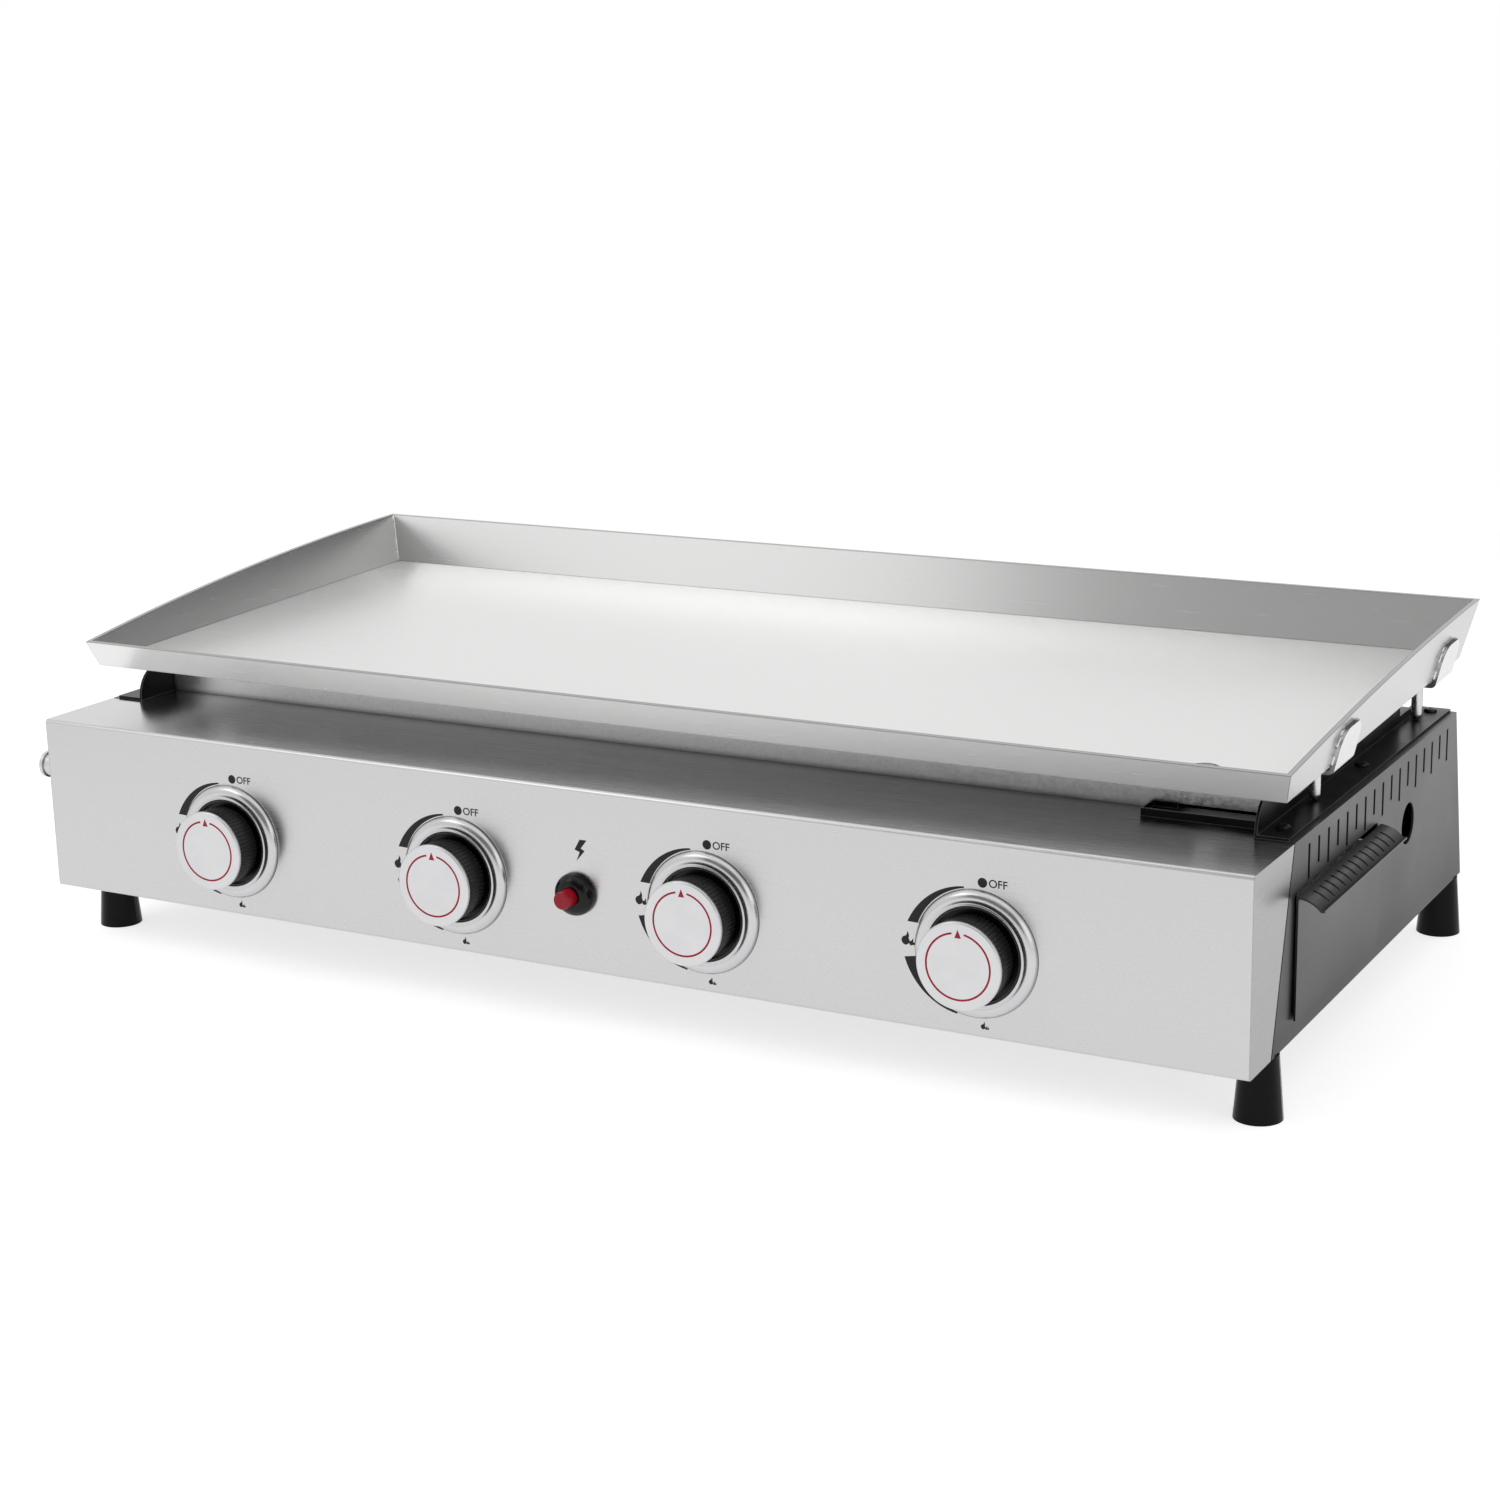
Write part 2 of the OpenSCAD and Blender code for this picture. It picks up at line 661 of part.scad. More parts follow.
// A burner is a closed tube with air windows at the jet and flame slots along its top
module burner(i) {
    x = knob_x[i];
    r = burner_d / 2;
    slots_y0 = shield_y + 22;
    slot = [12, 1.6];
    window = [burner_y0 + 5, burner_y0 + 17];
    pitch = (burner_y1 - 14 - slots_y0) / (flame_slots - 1);
    color("#a9abad") place() difference() {
        union() {
            bar_y(x, valve_z, burner_y0, burner_y1, burner_d);
            bar_y(x, valve_z, burner_y1 - 1, rear_rail_y + shield_t + 8, tail_d);
        }
        bar_y(x, valve_z, burner_y0 + 2, burner_y1 - 2, burner_d - 2 * burner_wall);
        bar_y(x, valve_z, burner_y0 - eps, burner_y0 + 3, jet_d + 0.4);
        box([x - r - 1, window[0], valve_z - r * 0.4], [x + r + 1, window[1], valve_z + r * 0.4]);
        for (k = [0:flame_slots - 1]) translate([x, slots_y0 + k * pitch, valve_z + r])
            box([-slot[0] / 2, -slot[1] / 2, -3], [slot[0] / 2, slot[1] / 2, 1]);
    }
}

module burner_nuts() {
    y = rear_rail_y + shield_t;
    color("#b5b7b9") place() for (x = knob_x) difference() {
        translate([x, y, valve_z]) rotate([-90, 0, 0]) cylinder(d = tail_d * 1.8, h = 5, $fn = 6);
        bar_y(x, valve_z, y - eps, y + 6, tail_d + 0.1);
    }
}

// ---------------------------------------------------------------- gas train

module gas_manifold() {
    color("#b9bbbd") place() difference() {
        bar_x(pipe_y, pipe_z, pipe_x0, pipe_x1, pipe_d);
        bar_x(pipe_y, pipe_z, pipe_x0 - eps, pipe_x1 - 4, pipe_d - 2 * pipe_wall);
    }
}

module gas_inlet() {
    x0 = -side_x - inlet_out;
    x1 = pipe_x0 + 9;
    ring_l = 2.4;
    neck_x = pipe_x0 + 2;
    color("#a8aaac") place() difference() {
        union() {
            bar_x(pipe_y, pipe_z, x0, x0 + ring_l, inlet_d);
            bar_x(pipe_y, pipe_z, x0 + ring_l - eps, neck_x, inlet_d - 2);
            bar_x(pipe_y, pipe_z, neck_x - 1, x1, pipe_d + 4);
        }
        bar_x(pipe_y, pipe_z, x0 - eps, x0 + inlet_bore_l, inlet_bore_d);
        bar_x(pipe_y, pipe_z, x0, x1, pipe_d - 2 * pipe_wall);
        bar_x(pipe_y, pipe_z, pipe_x0 - 0.05, x1 + eps, pipe_d + 0.06);
    }
}

module inlet_nut() {
    color("#b0b2b4") place() difference() {
        translate([-side_x - 4.2, pipe_y, pipe_z]) rotate([0, 90, 0])
            cylinder(d = pipe_d * 1.7, h = 4, $fn = 6);
        bar_x(pipe_y, pipe_z, -side_x - 5, -side_x, pipe_d + 0.06);
    }
}

// Two plates hang the manifold from the front panel's top
module manifold_hangers() {
    hang = 16;
    color("#8f9192") place() for (x = hanger_x) difference() {
        union() {
            box([x - 1, pipe_y - 10, pipe_z - pipe_d / 2 - 3], [x + 1, pipe_y + 10, top_z - sheet_t]);
            box([x - 1, pipe_y - 10, top_z - sheet_t - 1.5], [x + hang, pipe_y + 10, top_z - sheet_t]);
        }
        bar_x(pipe_y, pipe_z, x - 2, x + 2, pipe_d + 0.1);
    }
}

// A valve: mounting plate, barrel, jet, and a saddle that holds the manifold
module valve(i) {
    x = knob_x[i];
    saddle = 16;
    plate = [34, 2.8];
    plate_z = [valve_z - 11, valve_z + 9];
    screw = [13, -8];
    nose_l = 5;
    color("#c2a25a") place() difference() {
        union() {
            box([x - plate[0] / 2, sheet_t, plate_z[0]], [x + plate[0] / 2, sheet_t + plate[1], plate_z[1]]);
            bar_y(x, valve_z, sheet_t, valve_l, valve_d);
            bar_y(x, valve_z, valve_l - 1, valve_l + nose_l, jet_d + nose_l);
            bar_y(x, valve_z, valve_l, jet_y1, jet_d);
            box([x - saddle / 2, pipe_y - 10, valve_z], [x + saddle / 2, pipe_y + 10, pipe_z]);
        }
        bar_x(pipe_y, pipe_z, x - saddle, x + saddle, pipe_d + 0.1);
        bar_y(x, valve_z, 0, valve_l - socket_l, 2 * bore_r);
        bar_y(x, valve_z, washer_y - 1, washer_y + washer_t + push_travel + 1, washer_d + 0.6);
        bar_y(x, valve_z, valve_l - 10, jet_y1 + eps, 1.5);
        for (s = [-1, 1])
            bar_y(x + s * screw[0], valve_z + screw[1], 0, sheet_t + plate[1] + eps, 2.6);
    }
}

// The washer inside the valve that goes in with the stem and is pushed back by the spring
module push_washer(i) {
    x = knob_x[i];
    color("#8d8f91") place() difference() {
        bar_y(x, valve_z, washer_y, washer_y + washer_t, washer_d);
        bar_y(x, valve_z, washer_y - eps, washer_y + washer_t + eps, 2 * bore_r);
    }
}

// The stem has a flat in the knob
module stem(i) {
    x = knob_x[i];
    y0 = -knob_out + cap_t + 3;
    color("#b3a06a") place() difference() {
        bar_y(x, valve_z, y0, valve_l - socket_l - push_travel - 1, stem_d);
        box([x - stem_r, y0 - eps, valve_z + stem_r * 0.6], [x + stem_r, -1, valve_z + stem_r + 1]);
    }
}

// ---------------------------------------------------------------- knobs

function fluted(r, depth, n) =
    [for (i = [0:2 * n - 1]) let (a = i * 180 / n, q = r - (i % 2) * depth) q * [cos(a), sin(a)]];

// A fluted cup with a hub for the stem
module knob(i) {
    x = knob_x[i];
    back = -knob_gap;
    face = -knob_out + cap_t;
    wall = 2.6;
    hub_d = stem_d + 7;
    web = 0.8;
    color("#161718") place() difference() {
        union() {
            difference() {
                translate([x, back, valve_z]) rotate([90, 0, 0])
                    linear_extrude(back - face) polygon(fluted(grip_d / 2, flute_h, flutes));
                bar_y(x, valve_z, face + 3, back + eps, grip_d - 2 * flute_h - 2 * wall);
            }
            bar_y(x, valve_z, face, -1.2 - push_travel, hub_d);
            for (a = [0, 90]) translate([x, 0, valve_z]) rotate([0, a, 0])
                box([-grip_d / 2 + 2, face, -web], [grip_d / 2 - 2, back - 4, web]);
        }
        difference() {
            bar_y(x, valve_z, face + 2.9, 1, stem_d + 0.04);
            box([x - stem_r, face + 2, valve_z + stem_r * 0.6 + 0.02],
                [x + stem_r, -1.1, valve_z + stem_r + 1]);
        }
    }
}

// The polished cap on a knob's face
module knob_cap(i) {
    r = cap_d / 2;
    f = knob_out;
    b = knob_out - cap_t + 0.02;
    color("#e4e5e6") place() turned(knob_x[i], valve_z,
        concat([[0, b], [r - 0.4, b], [r, b + 0.4]],
            [for (k = [0:4]) let (a = k * 22.5) [r - 1.1 + 1.1 * cos(a), f - 1.1 + 1.1 * sin(a)]], [[0, f]]));
}

// A stamped ring: a rolled bead inside, a dished band, and an edge on the panel
module knob_bezels() {
    r = bezel_d / 2;
    ri = bezel_in_d / 2;
    bead = 1.1;
    band = arc([r - 1, 0.9], [ri + 2 * bead, bezel_h - bead], -1.1, 8);
    outer = concat([[r, 0], [r, 0.5]], band,
        [for (k = [0:6]) let (a = k * 30) [ri + bead + bead * cos(a), bezel_h - bead + bead * sin(a)]]);
    color("#d6d7d8") place() for (x = knob_x)
        turned(x, valve_z, concat(outer, [[ri, 0]]));
}

// The black cup inside each bezel
module knob_cups() {
    ri = bezel_in_d / 2 - 0.05;
    eye = stem_r + 5.5;
    t = 0.8;
    color("#0f1011") place() for (x = knob_x)
        turned(x, valve_z, [[eye, 0], [ri, 0], [ri, bezel_h - 1], [ri - t, bezel_h - 1],
            [ri - t, t], [eye, t]]);
}

// ---------------------------------------------------------------- igniter

module igniter_collar() {
    r = collar_d / 2;
    ri = button_d / 2 + 0.3;
    dome = arc([r, 1.2], [ri + 1.5, collar_h], -1.6, 8);
    color("#101112") place()
        turned(knob_mid, valve_z, concat([[ri, 0], [r, 0]], dome, [[ri, collar_h]]));
}

module igniter_button() {
    r = button_d / 2;
    f = button_out;
    color("#b3122e") place()
        turned(knob_mid, valve_z, concat([[0, -4], [r, -4]],
            [for (k = [0:4]) let (a = k * 22.5) [r - 1 + cos(a), f - 1 + sin(a)]], [[0, f]]));
}

module igniter_body() {
    barrel_d = 20;
    rim_d = 30;
    rim_t = 4.3;
    color("#d8d4c8") place() difference() {
        union() {
            bar_y(knob_mid, valve_z, sheet_t, igniter_l, barrel_d);
            bar_y(knob_mid, valve_z, sheet_t, sheet_t + rim_t, rim_d);
            for (s = [-1, 1]) bar_y(knob_mid + s * terminal_x, valve_z, igniter_l - 1, terminal_y, 4);
        }
        bar_y(knob_mid, valve_z, sheet_t - eps, 5 + button_travel + 6, button_d + 0.6);
    }
}

electrode_d = 6;
electrode_dx = -20;
electrode_z = valve_z + 9;
electrode_y0 = shield_y - 8;

// Each electrode: a ceramic rod through the shield and a wire bent to its burner
module electrodes() {
    tip_y = shield_y + 40;
    color("#e8e6de") place() for (x = knob_x) union() {
        bar_y(x + electrode_dx, electrode_z, electrode_y0, shield_y + 24, electrode_d);
        bar_y(x + electrode_dx, electrode_z, shield_y + 23, tip_y, 2);
        translate([x + electrode_dx, tip_y, electrode_z]) sphere(d = 2.2, $fn = 24);
        bar_x(tip_y, electrode_z, x + electrode_dx, x - burner_d / 2 - 0.5, 2);
    }
}

// Leads from the igniter's two terminals to the four electrodes
module ignition_leads() {
    d = 2.4;
    spread = 1.3;
    color("#1b1b1c") place() for (i = [0:3]) {
        y = terminal_y + 12 + 2 * d * i;
        z = pipe_z + pipe_d + 3 + (d + 0.6) * i;
        x0 = knob_mid + (i < 2 ? -terminal_x : terminal_x) + (i % 2 == 0 ? -spread : spread);
        x1 = knob_x[i] + electrode_dx;
        pts = [[x0, terminal_y, valve_z], [x0, y, valve_z], [x0, y, z], [x1, y, z], [x1, y, electrode_z],
            [x1, electrode_y0, electrode_z]];
        lead(pts, d);
    }
}

// Straight lengths of wire with a ball at each bend
module lead(pts, d) {
    union() {
        for (k = [0:len(pts) - 2]) {
            v = pts[k + 1] - pts[k];
            l = norm(v);
            translate(pts[k]) rotate([0, acos(v[2] / l), atan2(v[1], v[0])]) cylinder(d = d, h = l, $fn = 16);
        }
        for (k = [1:len(pts) - 2]) translate(pts[k]) sphere(d = d, $fn = 16);
    }
}

// ---------------------------------------------------------------- grease drawer

// The grip's outline in X-Z: out from the drawer's top edge, over and down
function grip_line() =
    let (p = [front_x, top_z - drawer_drop], q = [front_x + sheet_t + grip_out, p[1] - grip_drop])
    concat(arc(p, q - [2.2, 0], 1.6, 8), [q + [0, 0.2]]);

module drawer_front() {
    z1 = top_z - drawer_drop;
    z0 = z1 - drawer_h;
    top_line = grip_line();
    under = [for (i = [len(top_line) - 1:-1:1]) top_line[i] - [0, sheet_t]];
    end_in = 15;
    pitch = (drawer_w - 2 * end_in) / (grip_slots - 1);
    slot_x = [front_x + 4, front_x + sheet_t + grip_out - 2.8];
    color("#38393b") place() difference() {
        union() {
            box([front_x, drawer_y, z0], [front_x + sheet_t, drawer_y + drawer_w, z1]);
            along_y(drawer_y, drawer_y + drawer_w, concat(top_line, under, [[front_x, z1 - sheet_t - 2]]));
        }
        for (i = [0:grip_slots - 1]) {
            y = drawer_y + end_in + i * pitch;
            box([slot_x[0], y - grip_slot_w / 2, z1 - grip_drop - 5],
                [slot_x[1], y + grip_slot_w / 2, z1 + 5]);
        }
    }
}

module drawer_tray() {
    color("#7d7f81") place() difference() {
        box([tray_x0, tray_y, tray_z], [front_x, tray_y + tray_w, tray_z + tray_h]);
        box([tray_x0 + tray_t, tray_y + tray_t, tray_z + tray_t],
            [front_x - tray_t, tray_y + tray_w - tray_t, tray_z + tray_h + 1]);
    }
}

// Two rails on the base pan carry the tray and guide its sides
module drawer_runners() {
    x0 = tray_x0 + 2;
    x1 = inner_x - sheet_t - 1;
    ledge = tray_z - gap;
    color("#87898b") place() for (s = [0, 1]) translate([0, s * (2 * tray_y + tray_w), 0]) mirror([0, s, 0]) {
        box([x0, tray_y - 1.5, floor_z], [x1, tray_y - gap, tray_z + 16]);
        box([x0, tray_y - 1.5, ledge - 1.2], [x1, tray_y + 10, ledge]);
        box([x0, tray_y - 12, floor_z], [x1, tray_y - gap, floor_z + 1.2]);
    }
}

// A lipped shelf under the plate's drain leads back through the shield to a spout over the drawer
module grease_chute() {
    t = 1;
    z = top_z + 0.1;
    z1 = z + chute_way - 0.2;
    y1 = shield_y - seam;
    y2 = shield_y + shield_t + 1;
    spout_z = top_z - drawer_drop + 2;
    color("#141516") place() union() {
        along_x(chute_x0, chute_x1, [[chute_y, z], [chute_y, z + chute_lip], [chute_y + t, z + chute_lip],
            [chute_y + t, z + t + 0.5], [y1, z + t], [y1, z]]);
        for (x = [chute_x0, chute_x1 - t])
            box([x, chute_y, z], [x + t, y1, z + chute_lip]);
        box([chute_x0, y1 - t, z], [spout_x0 + t, y1, z + chute_lip]);
        box([spout_x0, y1 - eps, z], [chute_x1, y2 + t, z + t]);
        box([spout_x0, y2, spout_z], [chute_x1, y2 + t, z + eps]);
        for (x = [spout_x0, chute_x1 - t]) {
            box([x, y1 - t, z], [x + t, y2 + t, z1]);
            box([x, y2, spout_z], [x + t, spout_y1, z1]);
        }
        box([spout_x0, spout_y1 - t, spout_z], [chute_x1, spout_y1, z1]);
    }
}

// ---------------------------------------------------------------- feet and screws

function feet_y() = [foot_front_y, body_base_d - foot_back_in];
foot_well_d = 14;
foot_well_h = 10;

module each_foot() {
    for (side = [-1, 1]) for (y = feet_y()) translate([side * (side_x - foot_in), y, 0]) children();
}

module feet() {
    color("#121314") place() each_foot() difference() {
        cylinder(d1 = foot_base_d, d2 = foot_top_d, h = foot_h);
        translate([0, 0, -eps]) cylinder(d = foot_well_d, h = foot_well_h + eps);
        cylinder(d = foot_screw_d + 0.2, h = foot_h + eps);
    }
}

module foot_screws() {
    head_d = foot_screw_d * 1.9;
    head_h = 4;
    color("#a7a9ab") place() each_foot() {
        translate([0, 0, foot_well_h - head_h]) cylinder(d = head_d, h = head_h);
        translate([0, 0, foot_well_h - eps])
            cylinder(d = foot_screw_d, h = floor_z - foot_well_h + head_h + 2);
        translate([0, 0, floor_z]) cylinder(d = head_d, h = head_h, $fn = 6);
    }
}

module bracket_screws() {
    color("#222326") place() for (s = [-1, 1]) for (y = bracket_screws_y)
        translate([s * (bracket_x0 + bracket_x1) / 2, y, top_z + bracket_t]) {
            cylinder(d = bracket_screw_d * 2, h = 2);
            translate([0, 0, -bracket_t - sheet_t - 4])
                cylinder(d = bracket_screw_d, h = bracket_t + sheet_t + 5);
        }
}

module panel_screws() {
    color("#222326") place() for (s = [0, 1]) mirror([s, 0, 0]) for (z = panel_screws_z())
        translate([screw_x, back_y(z), z]) rotate([-90 + back_tilt, 0, 0]) {
            cylinder(d = 7, h = 2);
            translate([0, 0, -6]) cylinder(d = 3.2, h = 7);
        }
}

griddle_plate();
plate_straps();
plate_feet();
front_panel();
side_panel_left();
side_panel_right();
back_panel();
base_pan();
bracket_left();
bracket_right();
heat_shield();
burner_rail();
burner(0);  // burner_1
burner(1);  // burner_2
burner(2);  // burner_3
burner(3);  // burner_4
burner_nuts();
gas_manifold();
gas_inlet();
inlet_nut();
manifold_hangers();
valve(0);  // valve_1
valve(1);  // valve_2
valve(2);  // valve_3
valve(3);  // valve_4
push_washer(0);  // push_washer_1
push_washer(1);  // push_washer_2
push_washer(2);  // push_washer_3
push_washer(3);  // push_washer_4
stem(0);  // stem_1
stem(1);  // stem_2
stem(2);  // stem_3
stem(3);  // stem_4
knob(0);  // knob_1
knob(1);  // knob_2
knob(2);  // knob_3
knob(3);  // knob_4
knob_cap(0);  // knob_cap_1
knob_cap(1);  // knob_cap_2
knob_cap(2);  // knob_cap_3
knob_cap(3);  // knob_cap_4
knob_bezels();
knob_cups();
igniter_collar();
igniter_button();
igniter_body();
electrodes();
ignition_leads();
drawer_front();
drawer_tray();
drawer_runners();
grease_chute();
feet();
foot_screws();
bracket_screws();
panel_screws();
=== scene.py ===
"""Looks of the table-top gas griddle: studio, camera, finishes, printed signs and small trim.

Metres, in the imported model's frame: +X right, +Y to the back, +Z up, the table at z = 0.
Outlines of signs and trim are in millimetres and scaled by MM where they are placed.
"""

import json
import math
from itertools import product

import bmesh
import bpy
from mathutils import Matrix, Vector


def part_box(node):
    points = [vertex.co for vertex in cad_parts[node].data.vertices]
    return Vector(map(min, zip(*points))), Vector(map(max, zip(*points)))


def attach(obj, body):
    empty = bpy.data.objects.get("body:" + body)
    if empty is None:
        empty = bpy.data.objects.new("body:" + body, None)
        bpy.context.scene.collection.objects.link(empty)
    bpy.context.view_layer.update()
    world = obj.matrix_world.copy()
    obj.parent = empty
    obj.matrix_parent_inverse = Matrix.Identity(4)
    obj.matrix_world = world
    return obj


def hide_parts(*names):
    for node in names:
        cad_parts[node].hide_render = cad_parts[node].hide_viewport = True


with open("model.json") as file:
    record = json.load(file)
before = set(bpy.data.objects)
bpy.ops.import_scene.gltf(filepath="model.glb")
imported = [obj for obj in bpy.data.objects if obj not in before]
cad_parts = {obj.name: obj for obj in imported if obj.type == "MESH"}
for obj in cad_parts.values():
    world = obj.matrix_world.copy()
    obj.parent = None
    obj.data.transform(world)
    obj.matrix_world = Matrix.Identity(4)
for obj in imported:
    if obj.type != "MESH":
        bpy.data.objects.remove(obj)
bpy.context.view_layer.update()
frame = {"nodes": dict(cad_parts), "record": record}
NODES = frame["nodes"]
MM = 0.001

# The griddle plate's own frame: its origin at the middle of the floor's front edge, Y up the slope.
# The plate's sizes are in millimetres
PLATE_AT = Vector((10.35, -136.95, 171.0)) * MM
PLATE_SLOPE = math.radians(1.43)
PLATE_FRAME = Matrix.Translation(PLATE_AT) @ Matrix.Rotation(PLATE_SLOPE, 4, "X")
PLATE_HALF_W = 398.7
PLATE_FLARE = math.radians(14)
PLATE_BACK_FLARE = math.radians(15)
PLATE_DEPTH = 328.5
PLATE_BACK_H = 35.3
PLATE_T = 3.0
# Height over the plate's floor from which a face that looks up is part of the rim
RIM_OVER_FLOOR = 8 * MM

# ------------------------------------------------------------------ camera

CAMERA_AT = Vector((0.84475, -1.48035, 0.56794))
CAMERA_YAW = math.radians(29.22)
CAMERA_PITCH = math.radians(14.65)
CAMERA_ROLL = math.radians(-1.30)
LENS_MM = 67.2
SENSOR_MM = 36
CLIP_END = 50


def make_camera():
    data = bpy.data.cameras.new("camera")
    data.sensor_width = SENSOR_MM
    data.lens = LENS_MM
    data.clip_end = CLIP_END
    look = Vector((
        -math.sin(CAMERA_YAW) * math.cos(CAMERA_PITCH),
        math.cos(CAMERA_YAW) * math.cos(CAMERA_PITCH),
        -math.sin(CAMERA_PITCH),
    ))
    right = look.cross(Vector((0, 0, 1))).normalized()
    up = right.cross(look)
    c, s = math.cos(CAMERA_ROLL), math.sin(CAMERA_ROLL)
    right, up = c * right + s * up, c * up - s * right
    turn = Matrix((right, up, -look)).transposed().to_4x4()
    camera = bpy.data.objects.new("camera", data)
    camera.matrix_world = Matrix.Translation(CAMERA_AT) @ turn
    bpy.context.scene.collection.objects.link(camera)
    bpy.context.scene.camera = camera


# ------------------------------------------------------------------ node helpers

BEVEL_SAMPLES = 6
BUMP_BEVEL_SAMPLES = 4
CORNER_SAMPLES = 12
# How well the rounded and the flat normal agree, from an edge to the open sheet
EDGE_BAND = (0.80, 0.99)
# How much of the sky a point sees, from a tight corner to the open
CORNER_BAND = (0.25, 0.95)
# Share of a normal along an axis from which its face counts as looking that way
LOOKS_ALONG = 0.7
LOOKS_DOWN = -0.1


def add_node(tree, kind, links=(), **values):
    """A node in tree, with links giving each socket another node's output or a value"""
    made = tree.nodes.new("ShaderNode" + kind)
    for name, value in values.items():
        setattr(made, name, value)
    for socket, source in dict(links).items():
        if hasattr(source, "is_output"):
            tree.links.new(source, made.inputs[socket])
        else:
            made.inputs[socket].default_value = source
    return made


class Shader:
    """A material's node tree, with one Principled BSDF and short calls for what feeds it."""

    def __init__(self, name):
        self.material = bpy.data.materials.new(name)
        self.material.use_nodes = True
        self.tree = self.material.node_tree
        self.bsdf = self.tree.nodes["Principled BSDF"]
        self.coords = self.node("TexCoord").outputs["Object"]

    def set(self, **values):
        for name, value in values.items():
            socket = name.replace("_", " ").title().replace("Ior", "IOR")
            self.bsdf.inputs[socket].default_value = value

    def node(self, kind, links=(), **values):
        return add_node(self.tree, kind, links, **values)

    def feed(self, socket, source):
        self.tree.links.new(source, self.bsdf.inputs[socket])

    def scaled(self, scale):
        return self.node("Mapping", {"Vector": self.coords, "Scale": scale}).outputs[0]

    def place(self):
        """the object's own x, y and z"""
        return self.node("SeparateXYZ", {0: self.coords}).outputs

    def noise(self, vector, scale, detail=3.0, roughness=0.55):
        links = {"Vector": vector, "Scale": scale, "Detail": detail, "Roughness": roughness}
        return self.node("TexNoise", links).outputs["Fac"]

    def even_noise(self, scale, detail=3.0):
        """noise of one size along X, Y and Z"""
        return self.noise(self.scaled((1, 1, 1)), scale, detail)

    def span(self, value, low, high, start=0.3, end=0.7):
        """value, from start to end, spread from low to high; noise mostly lies within 0.3 to 0.7"""
        links = {"Value": value, "From Min": start, "From Max": end, "To Min": low, "To Max": high}
        return self.node("MapRange", links, clamp=True).outputs[0]

    def math(self, operation, a, b=0.0):
        return self.node("Math", {0: a, 1: b}, operation=operation).outputs[0]

    def both(self, a, b):
        """the product of two masks or shades"""
        return self.math("MULTIPLY", a, b)

    def blend(self, a, b, share):
        """a and b added, with share of a and the rest of b"""
        return self.math("ADD", self.both(a, share), self.both(b, 1 - share))

    def mix(self, factor, a, b):
        return self.node("Mix", {0: factor, 6: a, 7: b}, data_type="RGBA").outputs[2]

    def tint(self, colour, factor, dark, light, shade=None):
        """the colour, made darker and lighter by factor, and darker again by shade, which is
        painted shade
        """
        low = [min(1, c * dark) for c in colour] + [1]
        high = [min(1, c * light) for c in colour] + [1]
        tinted = self.mix(factor, low, high)
        if shade is not None:
            links = {0: tinted, "Scale": shade}
            tinted = self.node("VectorMath", links, operation="SCALE").outputs[0]
        self.feed("Base Color", tinted)

    def edges(self, radius):
        """1 on the edges of the sheet, falling to 0 within radius metres"""
        links = {0: self.node("Bevel", {"Radius": radius}, samples=BEVEL_SAMPLES).outputs[0],
                 1: self.node("NewGeometry").outputs["Normal"]}
        along = self.node("VectorMath", links, operation="DOT_PRODUCT").outputs["Value"]
        return self.span(along, 1.0, 0.0, *EDGE_BAND)

    def corners(self, reach):
        """0 in the open, towards 1 where other faces close in within reach metres"""
        found = self.node("AmbientOcclusion", {"Distance": reach}, samples=CORNER_SAMPLES)
        return self.span(found.outputs["AO"], 1.0, 0.0, *CORNER_BAND)

    def shades(self, *pairs):
        """the product of painted shades, each a mask and what it leaves of the colour where it is 1
        """
        product = 1.0
        for mask, left in pairs:
            product = self.both(product, self.span(mask, 1.0, left, 0.0, 1.0))
        return product

    def bump(self, height, strength, distance, edge=0.0):
        """relief from height, with edges that read as rounded by edge metres"""
        links = {"Height": height, "Strength": strength, "Distance": distance}
        if edge:
            bevel = self.node("Bevel", {"Radius": edge}, samples=BUMP_BEVEL_SAMPLES)
            links["Normal"] = bevel.outputs[0]
        self.feed("Normal", self.node("Bump", links).outputs[0])


def facing(s):
    """Masks of the faces that look along X, up, and down or down and outwards"""
    x, _, z = s.node("SeparateXYZ", {0: s.node("TexCoord").outputs["Normal"]}).outputs
    side = s.math("GREATER_THAN", s.math("ABSOLUTE", x), LOOKS_ALONG)
    return side, s.math("GREATER_THAN", z, LOOKS_ALONG), s.math("LESS_THAN", z, LOOKS_DOWN)


def rim_mask(s):
    """1 on what stands over the griddle plate's floor, which rises to the back"""
    _, y, z = s.place()
    rise = math.tan(PLATE_SLOPE)
    over = s.math("SUBTRACT", z, s.both(y, rise))
    return s.math("GREATER_THAN", over, PLATE_AT.z - PLATE_AT.y * rise + RIM_OVER_FLOOR)


# ------------------------------------------------------------------ finishes

# Share of the fine grain in a brushed sheet's tone. The rest is a wide cloud
GRAIN_SHARE = 0.8
# Heights between which the side paint's painted shade fades, from its low shade at the foot to its
# full colour
PAINT_FADE = (0.045, 0.118)
PAINT_LOW_SHADE = 0.35
# Directions across the brushing, on sheets at large and on faces that look along X
ACROSS_SHEET, ACROSS_SIDE = (0, 0.7, 0.7, 1), (0, 0, 1, 1)


